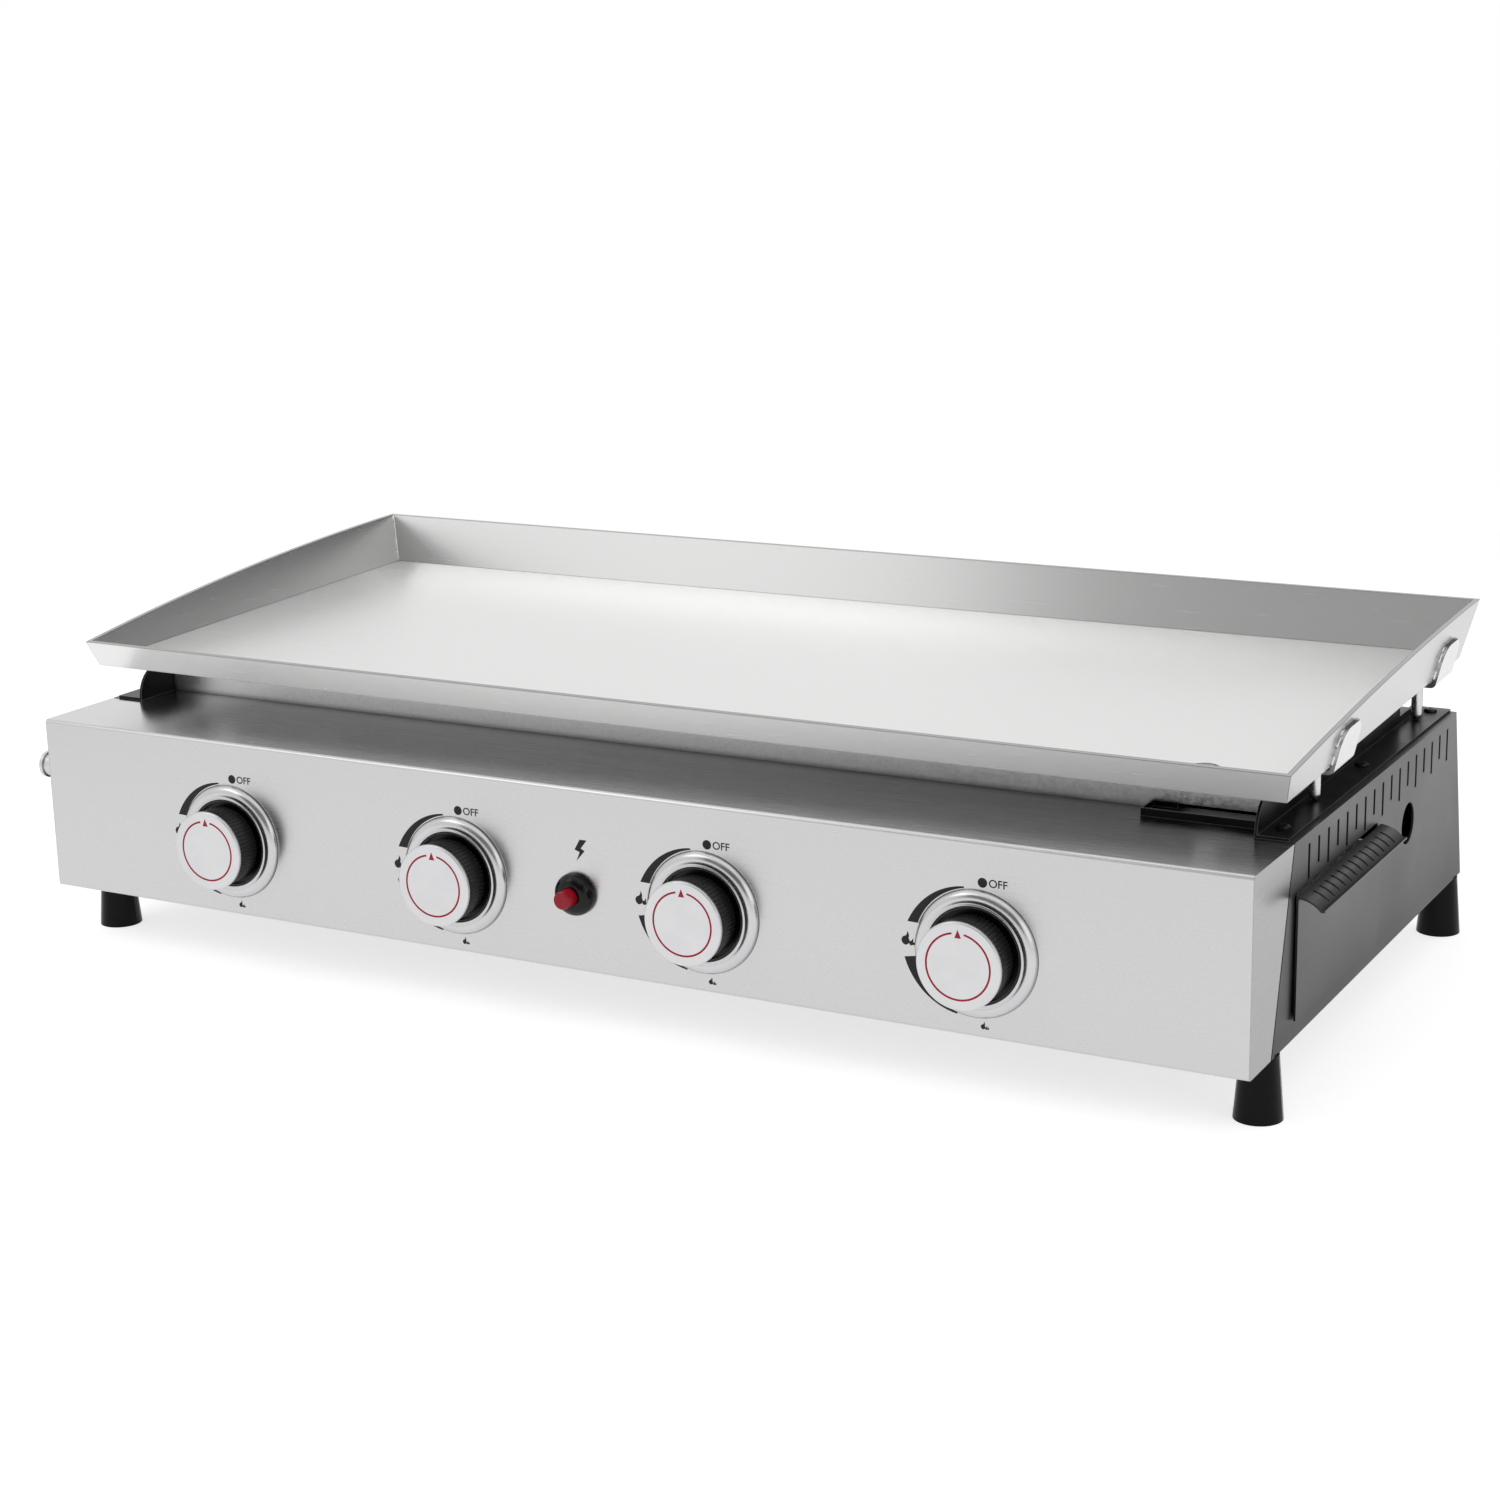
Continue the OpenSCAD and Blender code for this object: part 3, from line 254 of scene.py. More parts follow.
def brushed(name, colour, roughness, metallic=0.95, width=0.0006, length=0.05, depth=0.08,
            contrast=0.04, spread=0.05, side_shade=1.0, flare_shade=1.0, rim_shade=1.0,
            edge_shade=0.75, edge=0.0007, closed_shades=(), open_end=None, end_roughness=0.0):
    """Sheet steel brushed along X, and along Y on the faces that look along X.

    Each shade is painted shade, what is left of the colour: side_shade on faces along X,
    flare_shade on those that also look down, rim_shade on the plate's rim, edge_shade within edge
    metres of an edge, and closed_shades on upward faces that others close in within each reach in
    metres. open_end, from one x to another, is where an upward face turns from open, at
    end_roughness, to closed in.
    """
    s = Shader(name)
    s.set(metallic=metallic, anisotropic=0.6)
    across, along = 1 / width, 1 / length
    side, up, under = facing(s)
    stretch = s.mix(side, s.scaled((along, across, across)), s.scaled((across, along, across)))
    grain = s.noise(stretch, scale=1.0, detail=4.0, roughness=0.6)
    cloud = s.even_noise(scale=7.0, detail=2.0)
    # Painted shade: darker on faces along X, on edges, on flared walls that look down, on the
    # plate's rim and on upward faces where others close in
    pairs = [(side, side_shade), (s.edges(edge), edge_shade)]
    if flare_shade < 1:
        pairs.append((s.both(side, under), flare_shade))
    if rim_shade < 1:
        pairs.append((s.both(up, rim_mask(s)), rim_shade))
    closed = up
    if open_end:
        closed = s.both(up, s.span(s.place()[0], 0.0, 1.0, *open_end))
    for reach, left in closed_shades:
        pairs.append((s.both(closed, s.corners(reach)), left))
    wear = s.blend(grain, cloud, GRAIN_SHARE)
    s.tint(colour, s.span(wear, 0, 1), 1 - contrast, 1 + contrast, s.shades(*pairs))
    dull = s.span(grain, roughness - spread, roughness + spread)
    if open_end:
        smoother = s.both(s.math("SUBTRACT", up, closed), roughness - end_roughness)
        dull = s.math("SUBTRACT", dull, smoother)
    s.feed("Roughness", dull)
    s.feed("Tangent", s.mix(side, ACROSS_SHEET, ACROSS_SIDE))
    if depth > 0:
        s.bump(grain, depth, distance=0.00005, edge=0.0009)
    return s.material


def turned_metal(name, colour, roughness, contrast=0.05, edge_shade=1.0, foot_shade=1.0):
    """Plain bright metal with faint marks, and painted shade on edges and where its foot meets a
    face
    """
    s = Shader(name)
    s.set(metallic=1.0)
    marks = s.even_noise(scale=900.0, detail=4.0)
    smears = s.even_noise(scale=60.0)
    # Painted shade: edges darker by edge_shade, and the foot, where other faces close in, by
    # foot_shade
    pairs = []
    if edge_shade < 1:
        pairs.append((s.edges(radius=0.0006), edge_shade))
    if foot_shade < 1:
        pairs.append((s.corners(reach=0.003), foot_shade))
    shade = s.shades(*pairs) if pairs else None
    s.tint(colour, s.span(smears, 0, 1), 1 - contrast, 1 + contrast, shade)
    s.feed("Roughness", s.span(smears, roughness - 0.04, roughness + 0.06))
    s.bump(marks, strength=0.06, distance=0.00003)
    return s.material


def powder_coat(name, colour, roughness, grain=0.0006, depth=0.25):
    """Fine orange-peel paint, with painted shade and less gloss in the slots' depth and towards the
    body's foot
    """
    s = Shader(name)
    peel = s.even_noise(1 / grain, detail=2.0)
    cloud = s.even_noise(scale=9.0)
    # Painted shade: darker and less glossy where faces close in, as in the slots, and towards the
    # body's foot
    hollow = s.corners(reach=0.005)
    painted_height_shade = s.span(s.place()[2], PAINT_LOW_SHADE, 1.0, *PAINT_FADE)
    shade = s.both(painted_height_shade, s.shades((hollow, 0.1)))
    s.tint(colour, s.span(cloud, 0, 1), dark=0.9, light=1.1, shade=shade)
    shine = s.span(hollow, low=0.5, high=0.05, start=0.2, end=0.8)
    s.feed("Specular IOR Level", s.both(painted_height_shade, shine))
    s.feed("Roughness", s.span(cloud, roughness - 0.04, roughness + 0.05))
    s.bump(peel, depth, distance=0.00006)
    return s.material


def enamel(name, colour, roughness, painted_edge_highlight=None):
    """Gloss enamel with a faint wave, and a painted highlight that makes sharp edges paler"""
    s = Shader(name)
    s.set(specular_ior_level=0.25)
    wave = s.even_noise(scale=220.0, detail=2.0)
    dust = s.even_noise(scale=40.0, detail=4.0)
    dark, light = [[share * c for c in colour] + [1] for share in (0.8, 1.25)]
    face = s.mix(s.span(dust, 0, 1), dark, light)
    # A painted highlight: sharp edges turned towards a paler colour
    if painted_edge_highlight:
        face = s.mix(s.edges(radius=0.0006), face, list(painted_edge_highlight) + [1])
    s.feed("Base Color", face)
    s.feed("Roughness", s.span(dust, roughness - 0.03, roughness + 0.07))
    s.bump(wave, strength=0.12, distance=0.00008)
    return s.material


def moulded(name, colour, roughness, grain=0.0005, depth=0.12, shine=0.5):
    """Moulded plastic, rubber or ceramic"""
    s = Shader(name)
    s.set(specular_ior_level=shine)
    skin = s.even_noise(1 / grain)
    cloud = s.even_noise(scale=50.0)
    s.tint(colour, s.span(cloud, 0, 1), dark=0.88, light=1.12)
    s.feed("Roughness", s.span(cloud, roughness - 0.04, roughness + 0.06))
    s.bump(skin, depth, distance=0.00004)
    return s.material


def galvanised(name, colour, roughness, crystal=0.0016):
    """Zinc crystals in slightly different greys, with painted shade where the sheet stands on
    another
    """
    s = Shader(name)
    s.set(metallic=0.85)
    cells = s.node("TexVoronoi", {"Vector": s.scaled((1, 1, 1)), "Scale": 1 / crystal})
    grey = s.node("SeparateColor", {0: cells.outputs["Color"]}).outputs[0]
    speck = s.even_noise(scale=1400.0)
    # Painted shade: a dark line where the sheet stands on another face
    foot = s.shades((s.corners(reach=0.004), 0.1))
    s.tint(colour, s.blend(grey, speck, 0.5), dark=0.86, light=1.12, shade=foot)
    s.feed("Roughness", s.span(grey, roughness - 0.08, roughness + 0.08, 0.0, 1.0))
    s.bump(speck, strength=0.2, distance=0.00005)
    return s.material


def printed(name, colour):
    """Screen-printed ink"""
    s = Shader(name)
    s.set(specular_ior_level=0.3)
    speck = s.even_noise(scale=700.0)
    s.tint(colour, s.span(speck, 0, 1), dark=0.85, light=1.15)
    s.feed("Roughness", s.span(speck, 0.5, 0.62))
    s.bump(speck, strength=0.08, distance=0.00002)
    return s.material


# How each of the record's material slots is made: finish, colour, roughness and the rest
# In the looks below, side_shade, flare_shade, rim_shade, edge_shade, closed_shades and foot_shade
# are painted shade, and the enamel's edge colour is a painted highlight
PLATE_LOOK = dict(depth=0.0, contrast=0.004, spread=0.004, flare_shade=0.7, rim_shade=0.5,
                  edge_shade=0.4, edge=0.0013, closed_shades=((0.08, 0.72),))
STRAP_LOOK = dict(depth=0.0, contrast=0.02, edge_shade=0.5, edge=0.0011)
FRONT_LOOK = dict(depth=0.0, contrast=0.02, spread=0.03, side_shade=0.60, edge_shade=0.45,
                  edge=0.0009, closed_shades=((0.06, 0.3), (0.014, 0.5)),
                  open_end=(-0.37, -0.29), end_roughness=0.12)
RECIPES = {
    "plate_steel": (brushed, (0.77, 0.77, 0.765), 0.27, PLATE_LOOK),
    "strap_steel": (brushed, (0.68, 0.68, 0.68), 0.26, STRAP_LOOK),
    "front_steel": (brushed, (0.58, 0.58, 0.58), 0.26, FRONT_LOOK),
    "bezel_chrome": (turned_metal, (0.56, 0.56, 0.57), 0.22, dict(foot_shade=0.1)),
    "cap_steel": (turned_metal, (0.64, 0.64, 0.65), 0.34, dict(edge_shade=0.7)),
    "dark_paint": (powder_coat, (0.056, 0.056, 0.0585), 0.34, {}),
    "black_enamel": (enamel, (0.004, 0.004, 0.0045), 0.30, dict(painted_edge_highlight=(0.35, 0.35, 0.35))),
    "galvanised": (galvanised, (0.96, 0.96, 0.96), 0.36, {}),
    "burner_steel": (brushed, (0.55, 0.54, 0.52), 0.36, dict(metallic=1.0)),
    "zinc_steel": (turned_metal, (0.60, 0.61, 0.62), 0.32, dict(contrast=0.1)),
    "valve_brass": (turned_metal, (0.70, 0.53, 0.24), 0.30, dict(contrast=0.1)),
    "knob_plastic": (moulded, (0.014, 0.014, 0.0145), 0.34, {}),
    "black_plastic": (moulded, (0.004, 0.004, 0.0045), 0.14, dict(depth=0.03, shine=0.25)),
    "red_plastic": (moulded, (0.55, 0.006, 0.03), 0.2, dict(depth=0.04, shine=0.3)),
    "pale_plastic": (moulded, (0.72, 0.69, 0.60), 0.45, {}),
    "ceramic": (moulded, (0.80, 0.79, 0.74), 0.22, dict(depth=0.05)),
    "lead_rubber": (moulded, (0.02, 0.02, 0.02), 0.5, {}),
    "foot_rubber": (moulded, (0.003, 0.003, 0.0033), 0.2, dict(depth=0.04, shine=0.12)),
    "black_steel": (enamel, (0.015, 0.015, 0.016), 0.25, {}),
}
FINISHES = {slot: make(slot, colour, roughness, **look)
            for slot, (make, colour, roughness, look) in RECIPES.items()}
BLACK_INK = printed("black_ink", (0.022, 0.022, 0.024))
RED_INK = printed("red_ink", (0.60, 0.035, 0.06))


def dress_cad_nodes():
    for part in frame["record"]["subparts"]:
        data = NODES[part["node"]].data
        data.materials.clear()
        data.materials.append(FINISHES[part["material_slot"]])


# ------------------------------------------------------------------ mesh helpers


def new_object(name, mesh, material):
    """An object of the mesh in the scene, all in one material"""
    mesh.materials.clear()
    mesh.materials.append(material)
    made = bpy.data.objects.new(name, mesh)
    bpy.context.scene.collection.objects.link(made)
    return made


def to_mesh(bm, name):
    """A mesh from bm, its faces turned outwards"""
    bmesh.ops.recalc_face_normals(bm, faces=bm.faces)
    mesh = bpy.data.meshes.new(name)
    bm.to_mesh(mesh)
    bm.free()
    return mesh


def angles(sides):
    return [2 * math.pi * k / sides for k in range(sides)]


def after(ring):
    """The ring's vertices, each moved on by one"""
    return ring[1:] + ring[:1]


def bridge(bm, low, high, smooth=False):
    """Four-sided faces from one ring of vertices to another"""
    for a, b, c, d in zip(low, after(low), after(high), high):
        bm.faces.new([a, b, c, d]).smooth = smooth


# ------------------------------------------------------------------ printed signs

# Thickness of the ink
INK = 0.06 * MM
KNOBS = [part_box(f"knob_cap_{i}") for i in range(1, 5)]
KNOB_AT = [(low + high) / 2 for low, high in KNOBS]
CAP_FACE_Y = KNOBS[0][0].y
PANEL_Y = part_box("front_panel")[0].y
COLLAR_AT = sum(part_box("igniter_collar"), Vector()) / 2

# Height of a capital as a share of the lettering's size, and how far the outline is moved out
CAPITAL_SHARE = 0.72
STROKE_OFFSET = 0.07 * MM

# Places and sizes on the front panel, in millimetres from a knob's middle. A band goes from one
# angle to another, in degrees, with its inner radius and its outer one at each end
OFF_DOT = (3.7, 40.1, 2.75)
OFF_AT, OFF_H = (7.2, 38.1), 4.5
UPPER_BAND = (101, 159.8, 36.5, 37.4, 42.4)
UPPER_SLANT = 2.6
LOWER_BAND = (190, 252.5, 36.3, 43.0, 37.2)
LARGE_FLAME = (-40.0, 3.3, 8.0)
SMALL_FLAME = (4.9, -39.7, 4.4)
# On the knob's cap
CAP_BAND = (101, 439, 17.9, 19.0, 19.0)
CAP_STEPS = 72
POINTER = [(-1.9, 15.8), (1.9, 15.8), (0, 20.5)]
# From the igniter's middle
SPARK = (3.6, 26.2, 13.0)

# Sign outlines as shares of their size
TONGUE = [(-0.16, 0.00), (-0.42, 0.14), (-0.52, 0.36), (-0.34, 0.56), (0.02, 0.66), (0.18, 0.82),
          (0.20, 1.00), (0.36, 0.84), (0.42, 0.66), (0.36, 0.50), (0.50, 0.30), (0.36, 0.10),
          (0.10, 0.00)]
# A flame's tongues: place of the root in X and Z, width, height and lean
TONGUES = [(-0.20, -0.50, 0.62, 1.00, 0.0), (0.22, -0.50, 0.34, 0.52, 0.1),
           (0.48, -0.48, 0.28, 0.34, -0.1)]
BOLT = [(0.00, 0.50), (0.36, 0.50), (0.04, 0.10), (0.24, 0.00), (-0.20, -0.50), (-0.02, -0.08),
        (-0.28, 0.02)]


def flat_mesh(name, outlines, at, y, material, body):
    """Filled X-Z outlines, in millimetres from the point at, as ink on the plane at y"""
    bm = bmesh.new()
    for outline in outlines:
        points = [Vector((at.x + px * MM, y, at.z + pz * MM)) for px, pz in outline]
        face = bm.faces.new([bm.verts.new(p) for p in points])
        raised = bmesh.ops.extrude_face_region(bm, geom=[face])
        moved = [v for v in raised["geom"] if isinstance(v, bmesh.types.BMVert)]
        bmesh.ops.translate(bm, verts=moved, vec=(0, -INK, 0))
    bmesh.ops.triangulate(bm, faces=[f for f in bm.faces if len(f.verts) > 4])
    made = new_object(name, to_mesh(bm, name), material)
    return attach(made, body)


def lettering(name, words, at, x, z, height, y, material, body, slot):
    """Plain lettering, height millimetres tall, its lower left corner at x, z from the point at"""
    curve = bpy.data.curves.new(name, "FONT")
    curve.body = words
    curve.size = height * MM / CAPITAL_SHARE
    curve.extrude = INK / 2
    curve.offset = STROKE_OFFSET
    text = bpy.data.objects.new(name, curve)
    bpy.context.scene.collection.objects.link(text)
    bpy.context.view_layer.update()
    mesh = bpy.data.meshes.new_from_object(text)
    bpy.data.objects.remove(text)
    turn = Matrix.Rotation(math.pi / 2, 4, "X")
    mesh.transform(Matrix.Translation((at.x + x * MM, y - INK / 2, at.z + z * MM)) @ turn)
    made = new_object(name, mesh, material)
    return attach(made, body)


def ring_point(radius, degrees):
    a = math.radians(degrees)
    return (radius * math.cos(a), radius * math.sin(a))


def tapered_arc(start, end, inner, outer_start, outer_end, slant=0.0, steps=28):
    """A curved band from start to end, in degrees, in four-sided pieces that fill cleanly.

    It lies between the inner radius and the outer one, which goes from outer_start to outer_end.
    slant turns the outer end on.
    """
    turns = [i / steps for i in range(steps + 1)]
    outside = [ring_point(outer_start + (outer_end - outer_start) * t,
                          start + (end + slant - start) * t) for t in turns]
    inside = [ring_point(inner, start + (end - start) * t) for t in turns]
    return [[outside[i], outside[i + 1], inside[i + 1], inside[i]] for i in range(steps)]


def disc(x, z, radius, sides=32):
    return [(x + radius * math.cos(a), z + radius * math.sin(a)) for a in angles(sides)]


def placed(outline, x, z, width, height, lean=0.0):
    """An outline at x and z, stretched to a width and a height and leant over"""
    return [(x + (px + lean * pz) * width, z + pz * height) for px, pz in outline]


def flame(x, z, size):
    """Three tongues side by side, each a curved drop"""
    return [placed(TONGUE, x + cx * size, z + cz * size, w * size, h * size, lean)
            for cx, cz, w, h, lean in TONGUES]


def knob_signs(i, at):
    """OFF with its dot, two tapered bands, and a large and a small flame on the front panel"""
    marks = [disc(*OFF_DOT)]
    marks += tapered_arc(*UPPER_BAND, slant=UPPER_SLANT) + tapered_arc(*LOWER_BAND)
    marks += flame(*LARGE_FLAME) + flame(*SMALL_FLAME)
    flat_mesh(f"scale_{i}", marks, at, PANEL_Y, BLACK_INK, "chassis")
    lettering(f"off_{i}", "OFF", at, *OFF_AT, OFF_H, PANEL_Y, BLACK_INK, "chassis", "black_steel")


def cap_print(i, at):
    """A red ring, open at its top round a pointer"""
    marks = tapered_arc(*CAP_BAND, steps=CAP_STEPS) + [POINTER]
    flat_mesh(f"cap_print_{i}", marks, at, CAP_FACE_Y, RED_INK, f"knob_{i}")


def make_signs():
    for i, at in enumerate(KNOB_AT, 1):
        knob_signs(i, at)
        cap_print(i, at)
    x, z, size = SPARK
    spark = [placed(BOLT, x, z, size, size)]
    flat_mesh("spark_sign", spark, COLLAR_AT, PANEL_Y, BLACK_INK, "chassis")


# ------------------------------------------------------------------ welds

# Middles of the straps along the plate, and the straps' width, height and corner radius
STRAP_Y = (90.4, 287.4)
STRAP_W, STRAP_H, STRAP_R = 36, 20, 11
# A strap's beads: radius, gap to strap and wall, share of the radius at each end, and how much
# and how fast they ripple. They run up the edge's heights and round the corner's angles
BEAD_R = 1.1
BEAD_GAP = 0.2
BEAD_END = 0.55
BEAD_RIPPLE, BEAD_PACE = 0.12, 5.1
BEAD_LOW_Z = (0.4, 1.6, 2.8, 4.0, 5.2, 6.4)
BEAD_HIGH_DEGREES = (8, 18, 28, 38, 48, 58, 68)
# The plate's corner welds: radius along the run and at each end, and their ripple
CORNER_R, CORNER_END_R = 0.95, 0.6
CORNER_RIPPLE, CORNER_PACE = 0.08, 3.7
CORNER_WELD_STEPS = 10


def tube(name, points, radii, material, body, sides=10):
    """A round bead through points, with a radius at each"""
    bm = bmesh.new()
    rings = []
    for i, point in enumerate(points):
        ahead = (points[min(i + 1, len(points) - 1)] - points[max(i - 1, 0)]).normalized()
        across = ahead.orthogonal().normalized()
        other = ahead.cross(across)
        rings.append([bm.verts.new(point + radii[i] * (math.cos(a) * across + math.sin(a) * other))
                      for a in angles(sides)])
    for low, high in zip(rings, rings[1:]):
        bridge(bm, low, high)
    bm.faces.new(rings[0][::-1])
    bm.faces.new(rings[-1])
    mesh = to_mesh(bm, name)
    for face in mesh.polygons:
        face.use_smooth = True
    made = new_object(name, mesh, material)
    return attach(made, body)


def strap_lines(middle, end):
    """Where a strap's welds run, as Y and Z: up its straight edge and round its upper corner"""
    edge = middle + end * (STRAP_W / 2 + BEAD_GAP)
    turn_y, turn_z = middle + end * (STRAP_W / 2 - STRAP_R), STRAP_H - STRAP_R
    r = STRAP_R + BEAD_GAP
    low = [(edge, z) for z in BEAD_LOW_Z]
    high = [(turn_y + end * r * math.cos(a), turn_z + r * math.sin(a))
            for a in [math.radians(d) for d in BEAD_HIGH_DEGREES]]
    return ("low", low), ("high", high)


def strap_weld(name, side, row, line):
    """A short weld on the plate's side wall, along a line of Y and Z"""
    points, radii = [], []
    for k, (y, z) in enumerate(line):
        x = side * (PLATE_HALF_W + math.tan(PLATE_FLARE) * z + BEAD_GAP)
        points.append(PLATE_FRAME @ (Vector((x, y, z)) * MM))
        thin = BEAD_END if k in (0, len(line) - 1) else 1.0
        ripple = 1 + BEAD_RIPPLE * math.sin(BEAD_PACE * k + row + side)
        radii.append(BEAD_R * MM * thin * ripple)
    tube(name, points, radii, FINISHES["strap_steel"], "plate")


def weld_beads():
    """Two short welds along the front and rear edge of each strap on the plate's side walls"""
    for side, (row, middle), end in product((-1, 1), enumerate(STRAP_Y), (-1, 1)):
        for part, line in strap_lines(middle, end):
            strap_weld(f"weld_{part}_{'lr'[side > 0]}{row}{'fb'[end > 0]}", side, row, line)


def corner_welds():
    """The ground welds up the inside of the plate's two rear corners"""
    lean_x, lean_y = math.tan(PLATE_FLARE), math.tan(PLATE_BACK_FLARE)
    sheet_x, sheet_y = PLATE_T / math.cos(PLATE_FLARE), PLATE_T / math.cos(PLATE_BACK_FLARE)
    for side in (-1, 1):
        points, radii = [], []
        for k in range(CORNER_WELD_STEPS + 1):
            z = PLATE_T + (PLATE_BACK_H - PLATE_T) * k / CORNER_WELD_STEPS
            x = side * (PLATE_HALF_W + lean_x * z - sheet_x)
            y = PLATE_DEPTH + lean_y * z - sheet_y
            points.append(PLATE_FRAME @ (Vector((x, y, z)) * MM))
            radius = CORNER_R + CORNER_RIPPLE * math.sin(CORNER_PACE * k + side)
            radii.append((CORNER_END_R if k in (0, CORNER_WELD_STEPS) else radius) * MM)
        name = f"weld_corner_{'lr'[side > 0]}"
        tube(name, points, radii, FINISHES["strap_steel"], "plate")


# ------------------------------------------------------------------ screw heads and bezels

# In millimetres: the front panel's face, from which the screws are placed, the body's height and
# its depth at the foot, how much the back leans in over that height, and the feet
FRONT_Y = -189.55
BODY_H, BODY_BASE_D, BACK_LEAN, FOOT_H = 110, 400, 25, 36.5
BACK_TILT = math.atan(BACK_LEAN / BODY_H)

# A shank is its radius and length. A screw's turn is how its recess happens to lie, in radians
HEAD_H = 2 * MM
HEAD_SIDES = 32
BRACKET_SCREW_Y = [(y + FRONT_Y) * MM for y in (84, 223, 363.5)]
BRACKET_HEAD_R, BRACKET_SHANK, BRACKET_TURN = 4 * MM, (2 * MM, 7 * MM), 0.7
BACK_SCREWS = [((BODY_BASE_D - BACK_LEAN * dz / BODY_H + FRONT_Y) * MM, (FOOT_H + dz) * MM)
               for dz in (18, 55, 92)]
BACK_HEAD_R, BACK_SHANK = 3.5 * MM, (1.6 * MM, 6 * MM)
BACK_FIRST_TURN, BACK_TURN = 0.5, 0.9
# A pan head's outline as shares of its radius and height, and its recess
HEAD_OUTLINE = [(1.0, 0.0), (1.0, 0.35), (0.93, 0.62), (0.78, 0.84), (0.60, 0.96)]
RECESS_REACH, RECESS_HALF = 0.42, 0.10
RECESS_TOP, RECESS_FLOOR, RECESS_TAPER = 0.98, 0.45, 0.8

# A bezel's outline: radius, and height over the front panel
BEZEL_OUTLINE = [(35.9, 0.0), (35.9, 0.6), (35.5, 1.6), (34.8, 2.6), (33.9, 3.4), (32.9, 3.95),
                 (31.9, 4.2), (31.0, 4.25), (30.2, 4.15), (29.5, 4.0), (29.0, 3.95), (28.6, 4.1),
                 (28.2, 4.35), (27.8, 4.4), (27.5, 4.2), (27.3, 3.8), (27.3, 0.0)]
BEZEL_SIDES = 128


def cross_outline(reach, half):
    """A plus sign, anticlockwise from its right arm's lower corner"""
    arm, outline = [(reach, -half), (reach, half), (half, half)], []
    for _ in range(4):
        outline += arm
        arm = [(-y, x) for x, y in arm]
    return outline


def screw_heads(name, node, places, radius, height, shank, material):
    """Pan-head screws with a cross recess, in place of a CAD node

    Each place is a matrix with +Z out of the head. shank is the shank's radius and length.
    """
    cross = cross_outline(RECESS_REACH * radius, RECESS_HALF * radius)
    levels = [(shank[0], -shank[1]), (shank[0], 0.0)]
    levels += [(r * radius, h * height) for r, h in HEAD_OUTLINE]
    bm = bmesh.new()
    for place in places:
        def put(x, y, z):
            return bm.verts.new(place @ Vector((x, y, z)))

        rings = [[put(r * math.cos(a), r * math.sin(a), z) for a in angles(HEAD_SIDES)]
                 for r, z in levels]
        for low, high in zip(rings, rings[1:]):
            bridge(bm, low, high)
        bm.faces.new(rings[0][::-1])
        rim = [put(x, y, RECESS_TOP * height) for x, y in cross]
        pit = [put(RECESS_TAPER * x, RECESS_TAPER * y, RECESS_FLOOR * height) for x, y in cross]
        edges = [bm.edges.new(pair) for pair in zip(rim, after(rim))]
        edges += [bm.edges.get(pair) for pair in zip(rings[-1], after(rings[-1]))]
        bmesh.ops.triangle_fill(bm, edges=edges, use_beauty=True)
        bridge(bm, rim, pit)
        bmesh.ops.triangulate(bm, faces=[bm.faces.new(pit)])
    made = new_object(name, to_mesh(bm, name), material)
    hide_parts(node)
    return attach(made, "chassis")


def make_screws():
    """The brackets' screws stand upright; the back panel's are square to the leaning back"""
    low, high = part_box("bracket_screws")
    spots = product((low.x + BRACKET_HEAD_R, high.x - BRACKET_HEAD_R), BRACKET_SCREW_Y)
    top = high.z - HEAD_H
    places = [Matrix.Translation((x, y, top)) @ Matrix.Rotation(BRACKET_TURN * i, 4, "Z")
              for i, (x, y) in enumerate(spots)]
    screw_heads("bracket_screw_heads", "bracket_screws", places, BRACKET_HEAD_R, HEAD_H,
                BRACKET_SHANK, FINISHES["black_steel"])
    low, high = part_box("panel_screws")
    lean = Matrix.Rotation(-math.pi / 2 + BACK_TILT, 4, "X")
    places = []
    for x, (i, (y, z)) in product((low.x + BACK_HEAD_R, high.x - BACK_HEAD_R),
                                  enumerate(BACK_SCREWS)):
        turn = lean @ Matrix.Rotation(BACK_FIRST_TURN + BACK_TURN * i, 4, "Z")
        places.append(Matrix.Translation((x, y, z)) @ turn)
    screw_heads("panel_screw_heads", "panel_screws", places, BACK_HEAD_R, HEAD_H,
                BACK_SHANK, FINISHES["black_steel"])


def pressed_bezels():
    """The knobs' bezels with their rolled crest and inner lip, in place of the CAD node"""
    bm = bmesh.new()
    for at in KNOB_AT:
        rings = []
        for radius, out in BEZEL_OUTLINE:
            r, y = radius * MM, PANEL_Y - out * MM
            rings.append([bm.verts.new((at.x + r * math.cos(a), y, at.z + r * math.sin(a)))
                          for a in angles(BEZEL_SIDES)])
        for low, high in zip(rings, rings[1:]):
            bridge(bm, low, high, smooth=True)
        bridge(bm, rings[-1], rings[0])
    made = new_object("pressed_bezels", to_mesh(bm, "pressed_bezels"), FINISHES["bezel_chrome"])
    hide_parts("knob_bezels")
    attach(made, "chassis")


# ------------------------------------------------------------------ studio

FLOOR_SIZE = 8
FLOOR_GREY = (0.80, 0.84)
FLOOR_GRAIN = 40
# Glow that lifts the floor to white without losing the shadow, and where it fades to plain white
FLOOR_LIFT = 0.74
FLOOR_FADE = (0.7, 1.6)
WORLD_LIGHT = 0.4
WHITE = (1, 1, 1, 1)
# Name, place, target, size and grey
CARDS = [
    ("card_right", (1.6, 1.5, 0.85), (-0.4, 0.0, 0.2), (2.4, 1.6), 0.06),
    ("card_front", (0.35, -1.6, 1.0), (0.25, 0.2, 0.2), (2.3, 1.3), 0.20),
]
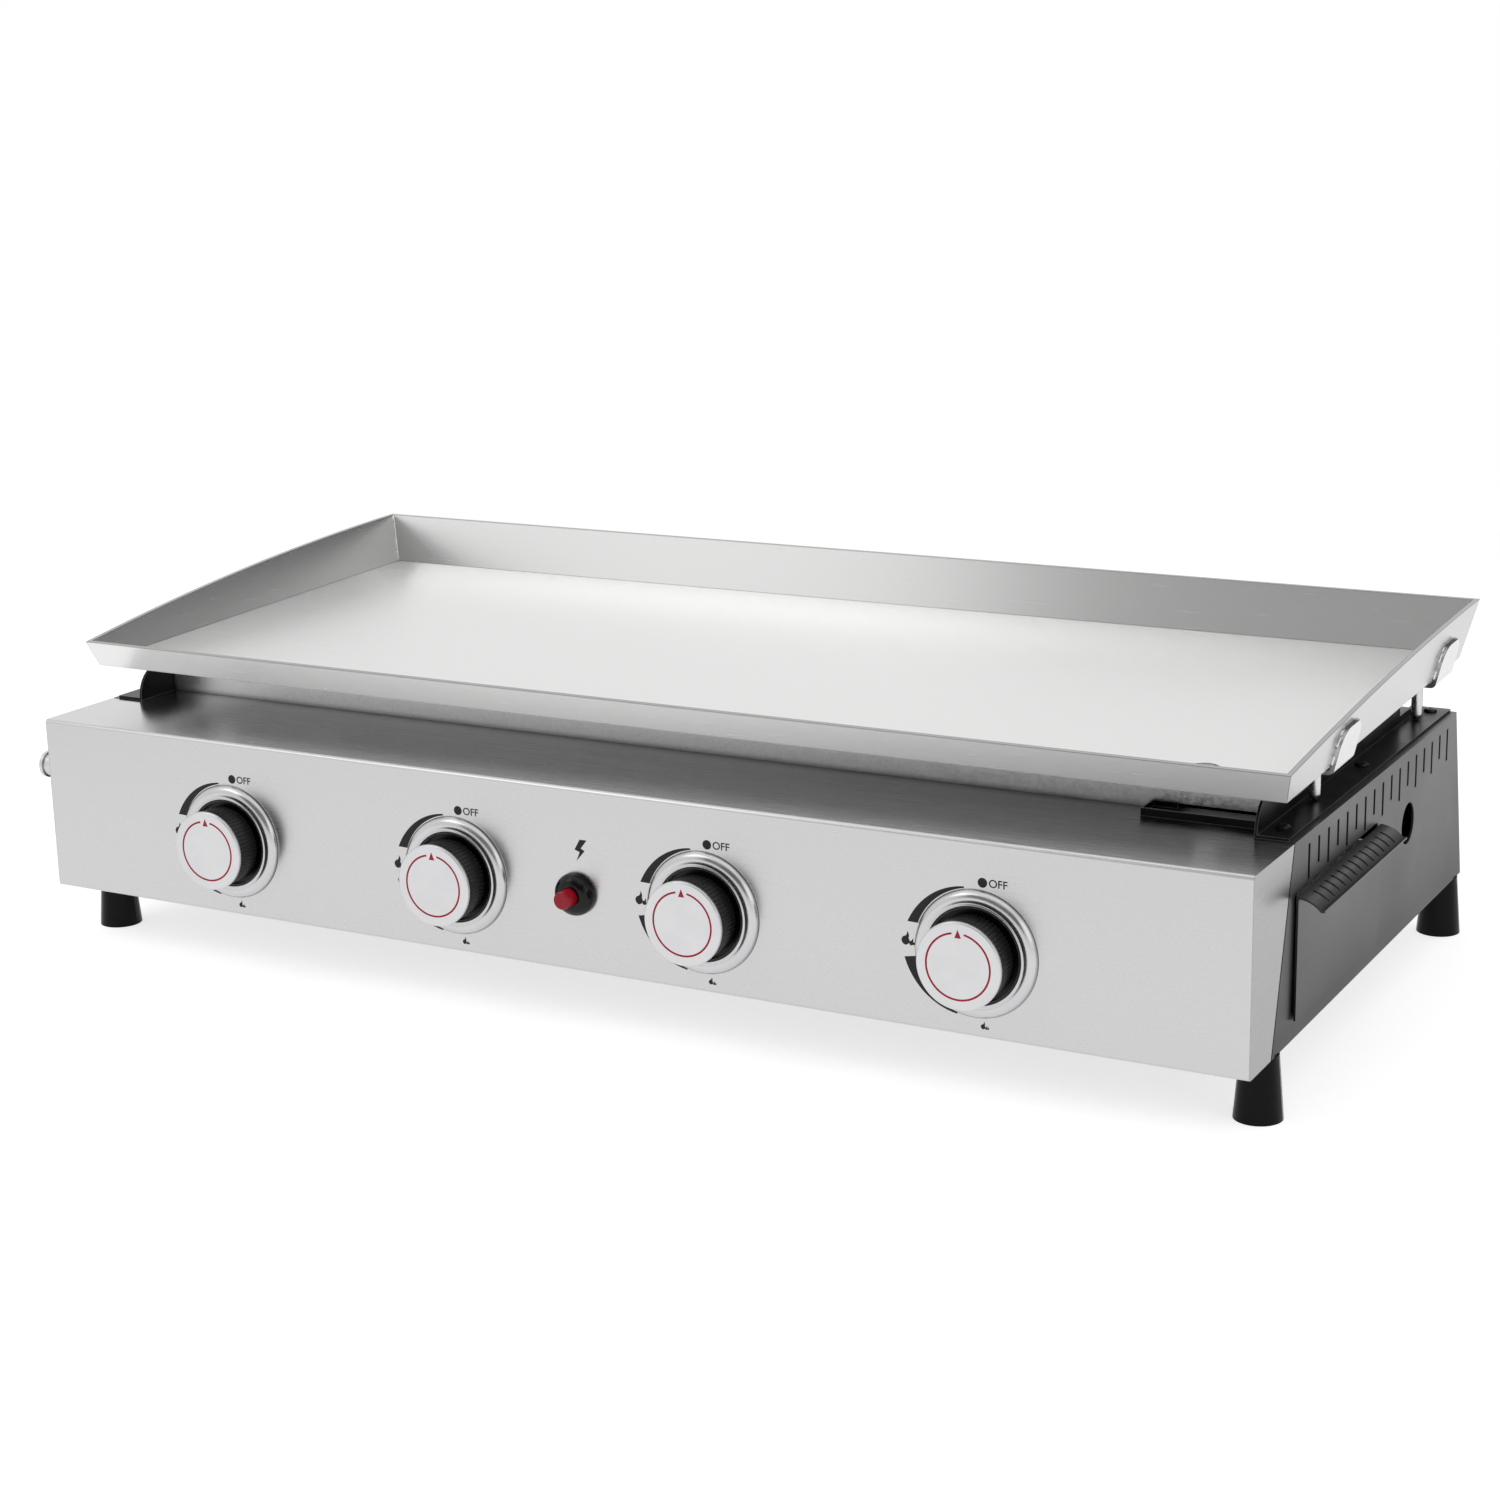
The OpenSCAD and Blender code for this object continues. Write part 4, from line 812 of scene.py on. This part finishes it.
# Name, place, target, size and power in watts
LAMPS = [
    ("key", (-1.4, -1.6, 2.2), (0, 0, 0.1), (1.6, 1.2), 7),
    ("fill", (2.2, -0.8, 1.0), (0.1, 0, 0.1), (1.2, 1.2), 2),
    ("top", (0.1, 0.5, 2.4), (0, 0, 0.1), (3.2, 2.4), 6),
]


def aimed(at, target, axis):
    """The turn that points an axis from one place to another"""
    return (Vector(target) - Vector(at)).to_track_quat(axis, "Y").to_euler()


def make_lights():
    for name, at, target, size, power in LAMPS:
        data = bpy.data.lights.new(name, "AREA")
        data.shape = "RECTANGLE"
        data.size, data.size_y = size
        data.energy = power
        lamp = bpy.data.objects.new(name, data)
        lamp.location = at
        lamp.rotation_euler = aimed(at, target, "-Z")
        bpy.context.scene.collection.objects.link(lamp)


def plane(name, size, material):
    bpy.ops.mesh.primitive_plane_add(size=size)
    made = bpy.context.object
    made.name = name
    made.data.materials.append(material)
    return made


def empty_material(name):
    """A material with no nodes yet, and its tree"""
    material = bpy.data.materials.new(name)
    material.use_nodes = True
    material.node_tree.nodes.clear()
    return material, material.node_tree


def background_rays(tree):
    """1 for what the camera sees straight, in gloss or through glass"""
    path = add_node(tree, "LightPath").outputs
    seen = path["Is Camera Ray"]
    for name in ("Is Glossy Ray", "Is Transmission Ray"):
        seen = add_node(tree, "Math", {0: seen, 1: path[name]}, operation="MAXIMUM").outputs[0]
    return seen


def make_floor():
    """A pale floor that reads white and keeps the object's shadow"""
    material, tree = empty_material("floor")
    grain = add_node(tree, "TexNoise", {"Scale": FLOOR_GRAIN}).outputs["Fac"]
    greys = {"Value": grain, "To Min": FLOOR_GREY[0], "To Max": FLOOR_GREY[1]}
    paper = add_node(tree, "MapRange", greys).outputs[0]
    diffuse = add_node(tree, "BsdfDiffuse", {"Color": paper}).outputs[0]
    seen = background_rays(tree)
    lift = add_node(tree, "Math", {0: seen, 1: FLOOR_LIFT}, operation="MULTIPLY").outputs[0]
    glow = add_node(tree, "Emission", {"Strength": lift}).outputs[0]
    near = add_node(tree, "AddShader", {0: diffuse, 1: glow}).outputs[0]
    far = add_node(tree, "Emission", {"Strength": seen}).outputs[0]
    place = add_node(tree, "TexCoord").outputs["Object"]
    reach = add_node(tree, "VectorMath", {0: place}, operation="LENGTH").outputs["Value"]
    ends = {"Value": reach, "From Min": FLOOR_FADE[0], "From Max": FLOOR_FADE[1]}
    fade = add_node(tree, "MapRange", ends, interpolation_type="SMOOTHSTEP").outputs[0]
    sweep = add_node(tree, "MixShader", {0: fade, 1: near, 2: far}).outputs[0]
    add_node(tree, "OutputMaterial", {"Surface": sweep})
    floor = plane("floor", FLOOR_SIZE, material)


def make_cards():
    """Grey cards beside the object that only its gloss sees, as in a product studio"""
    for name, at, target, size, grey in CARDS:
        material, tree = empty_material(name)
        glow = add_node(tree, "Emission", {"Color": (grey, grey, grey, 1)}).outputs[0]
        add_node(tree, "OutputMaterial", {"Surface": glow})
        card = plane(name, 1, material)
        card.scale = (size[0], size[1], 1)
        card.location = at
        card.rotation_euler = aimed(at, target, "Z")
        card.visible_camera = False
        card.visible_shadow = False
        card.visible_diffuse = False


def make_world():
    """White where it is seen, softer where it lights"""
    world = bpy.data.worlds.new("studio")
    world.use_nodes = True
    tree = world.node_tree
    light = tree.nodes["Background"]
    light.inputs["Color"].default_value = WHITE
    light.inputs["Strength"].default_value = WORLD_LIGHT
    white = add_node(tree, "Background", {"Color": WHITE, "Strength": 1.0}).outputs[0]
    links = {0: background_rays(tree), 1: light.outputs[0], 2: white}
    pick = add_node(tree, "MixShader", links).outputs[0]
    tree.links.new(pick, tree.nodes["World Output"].inputs["Surface"])
    bpy.context.scene.world = world


make_camera()
dress_cad_nodes()
make_signs()
pressed_bezels()
weld_beads()
corner_welds()
make_screws()
make_floor()
make_world()
make_cards()
make_lights()
bpy.context.scene.view_settings.view_transform = "Standard"
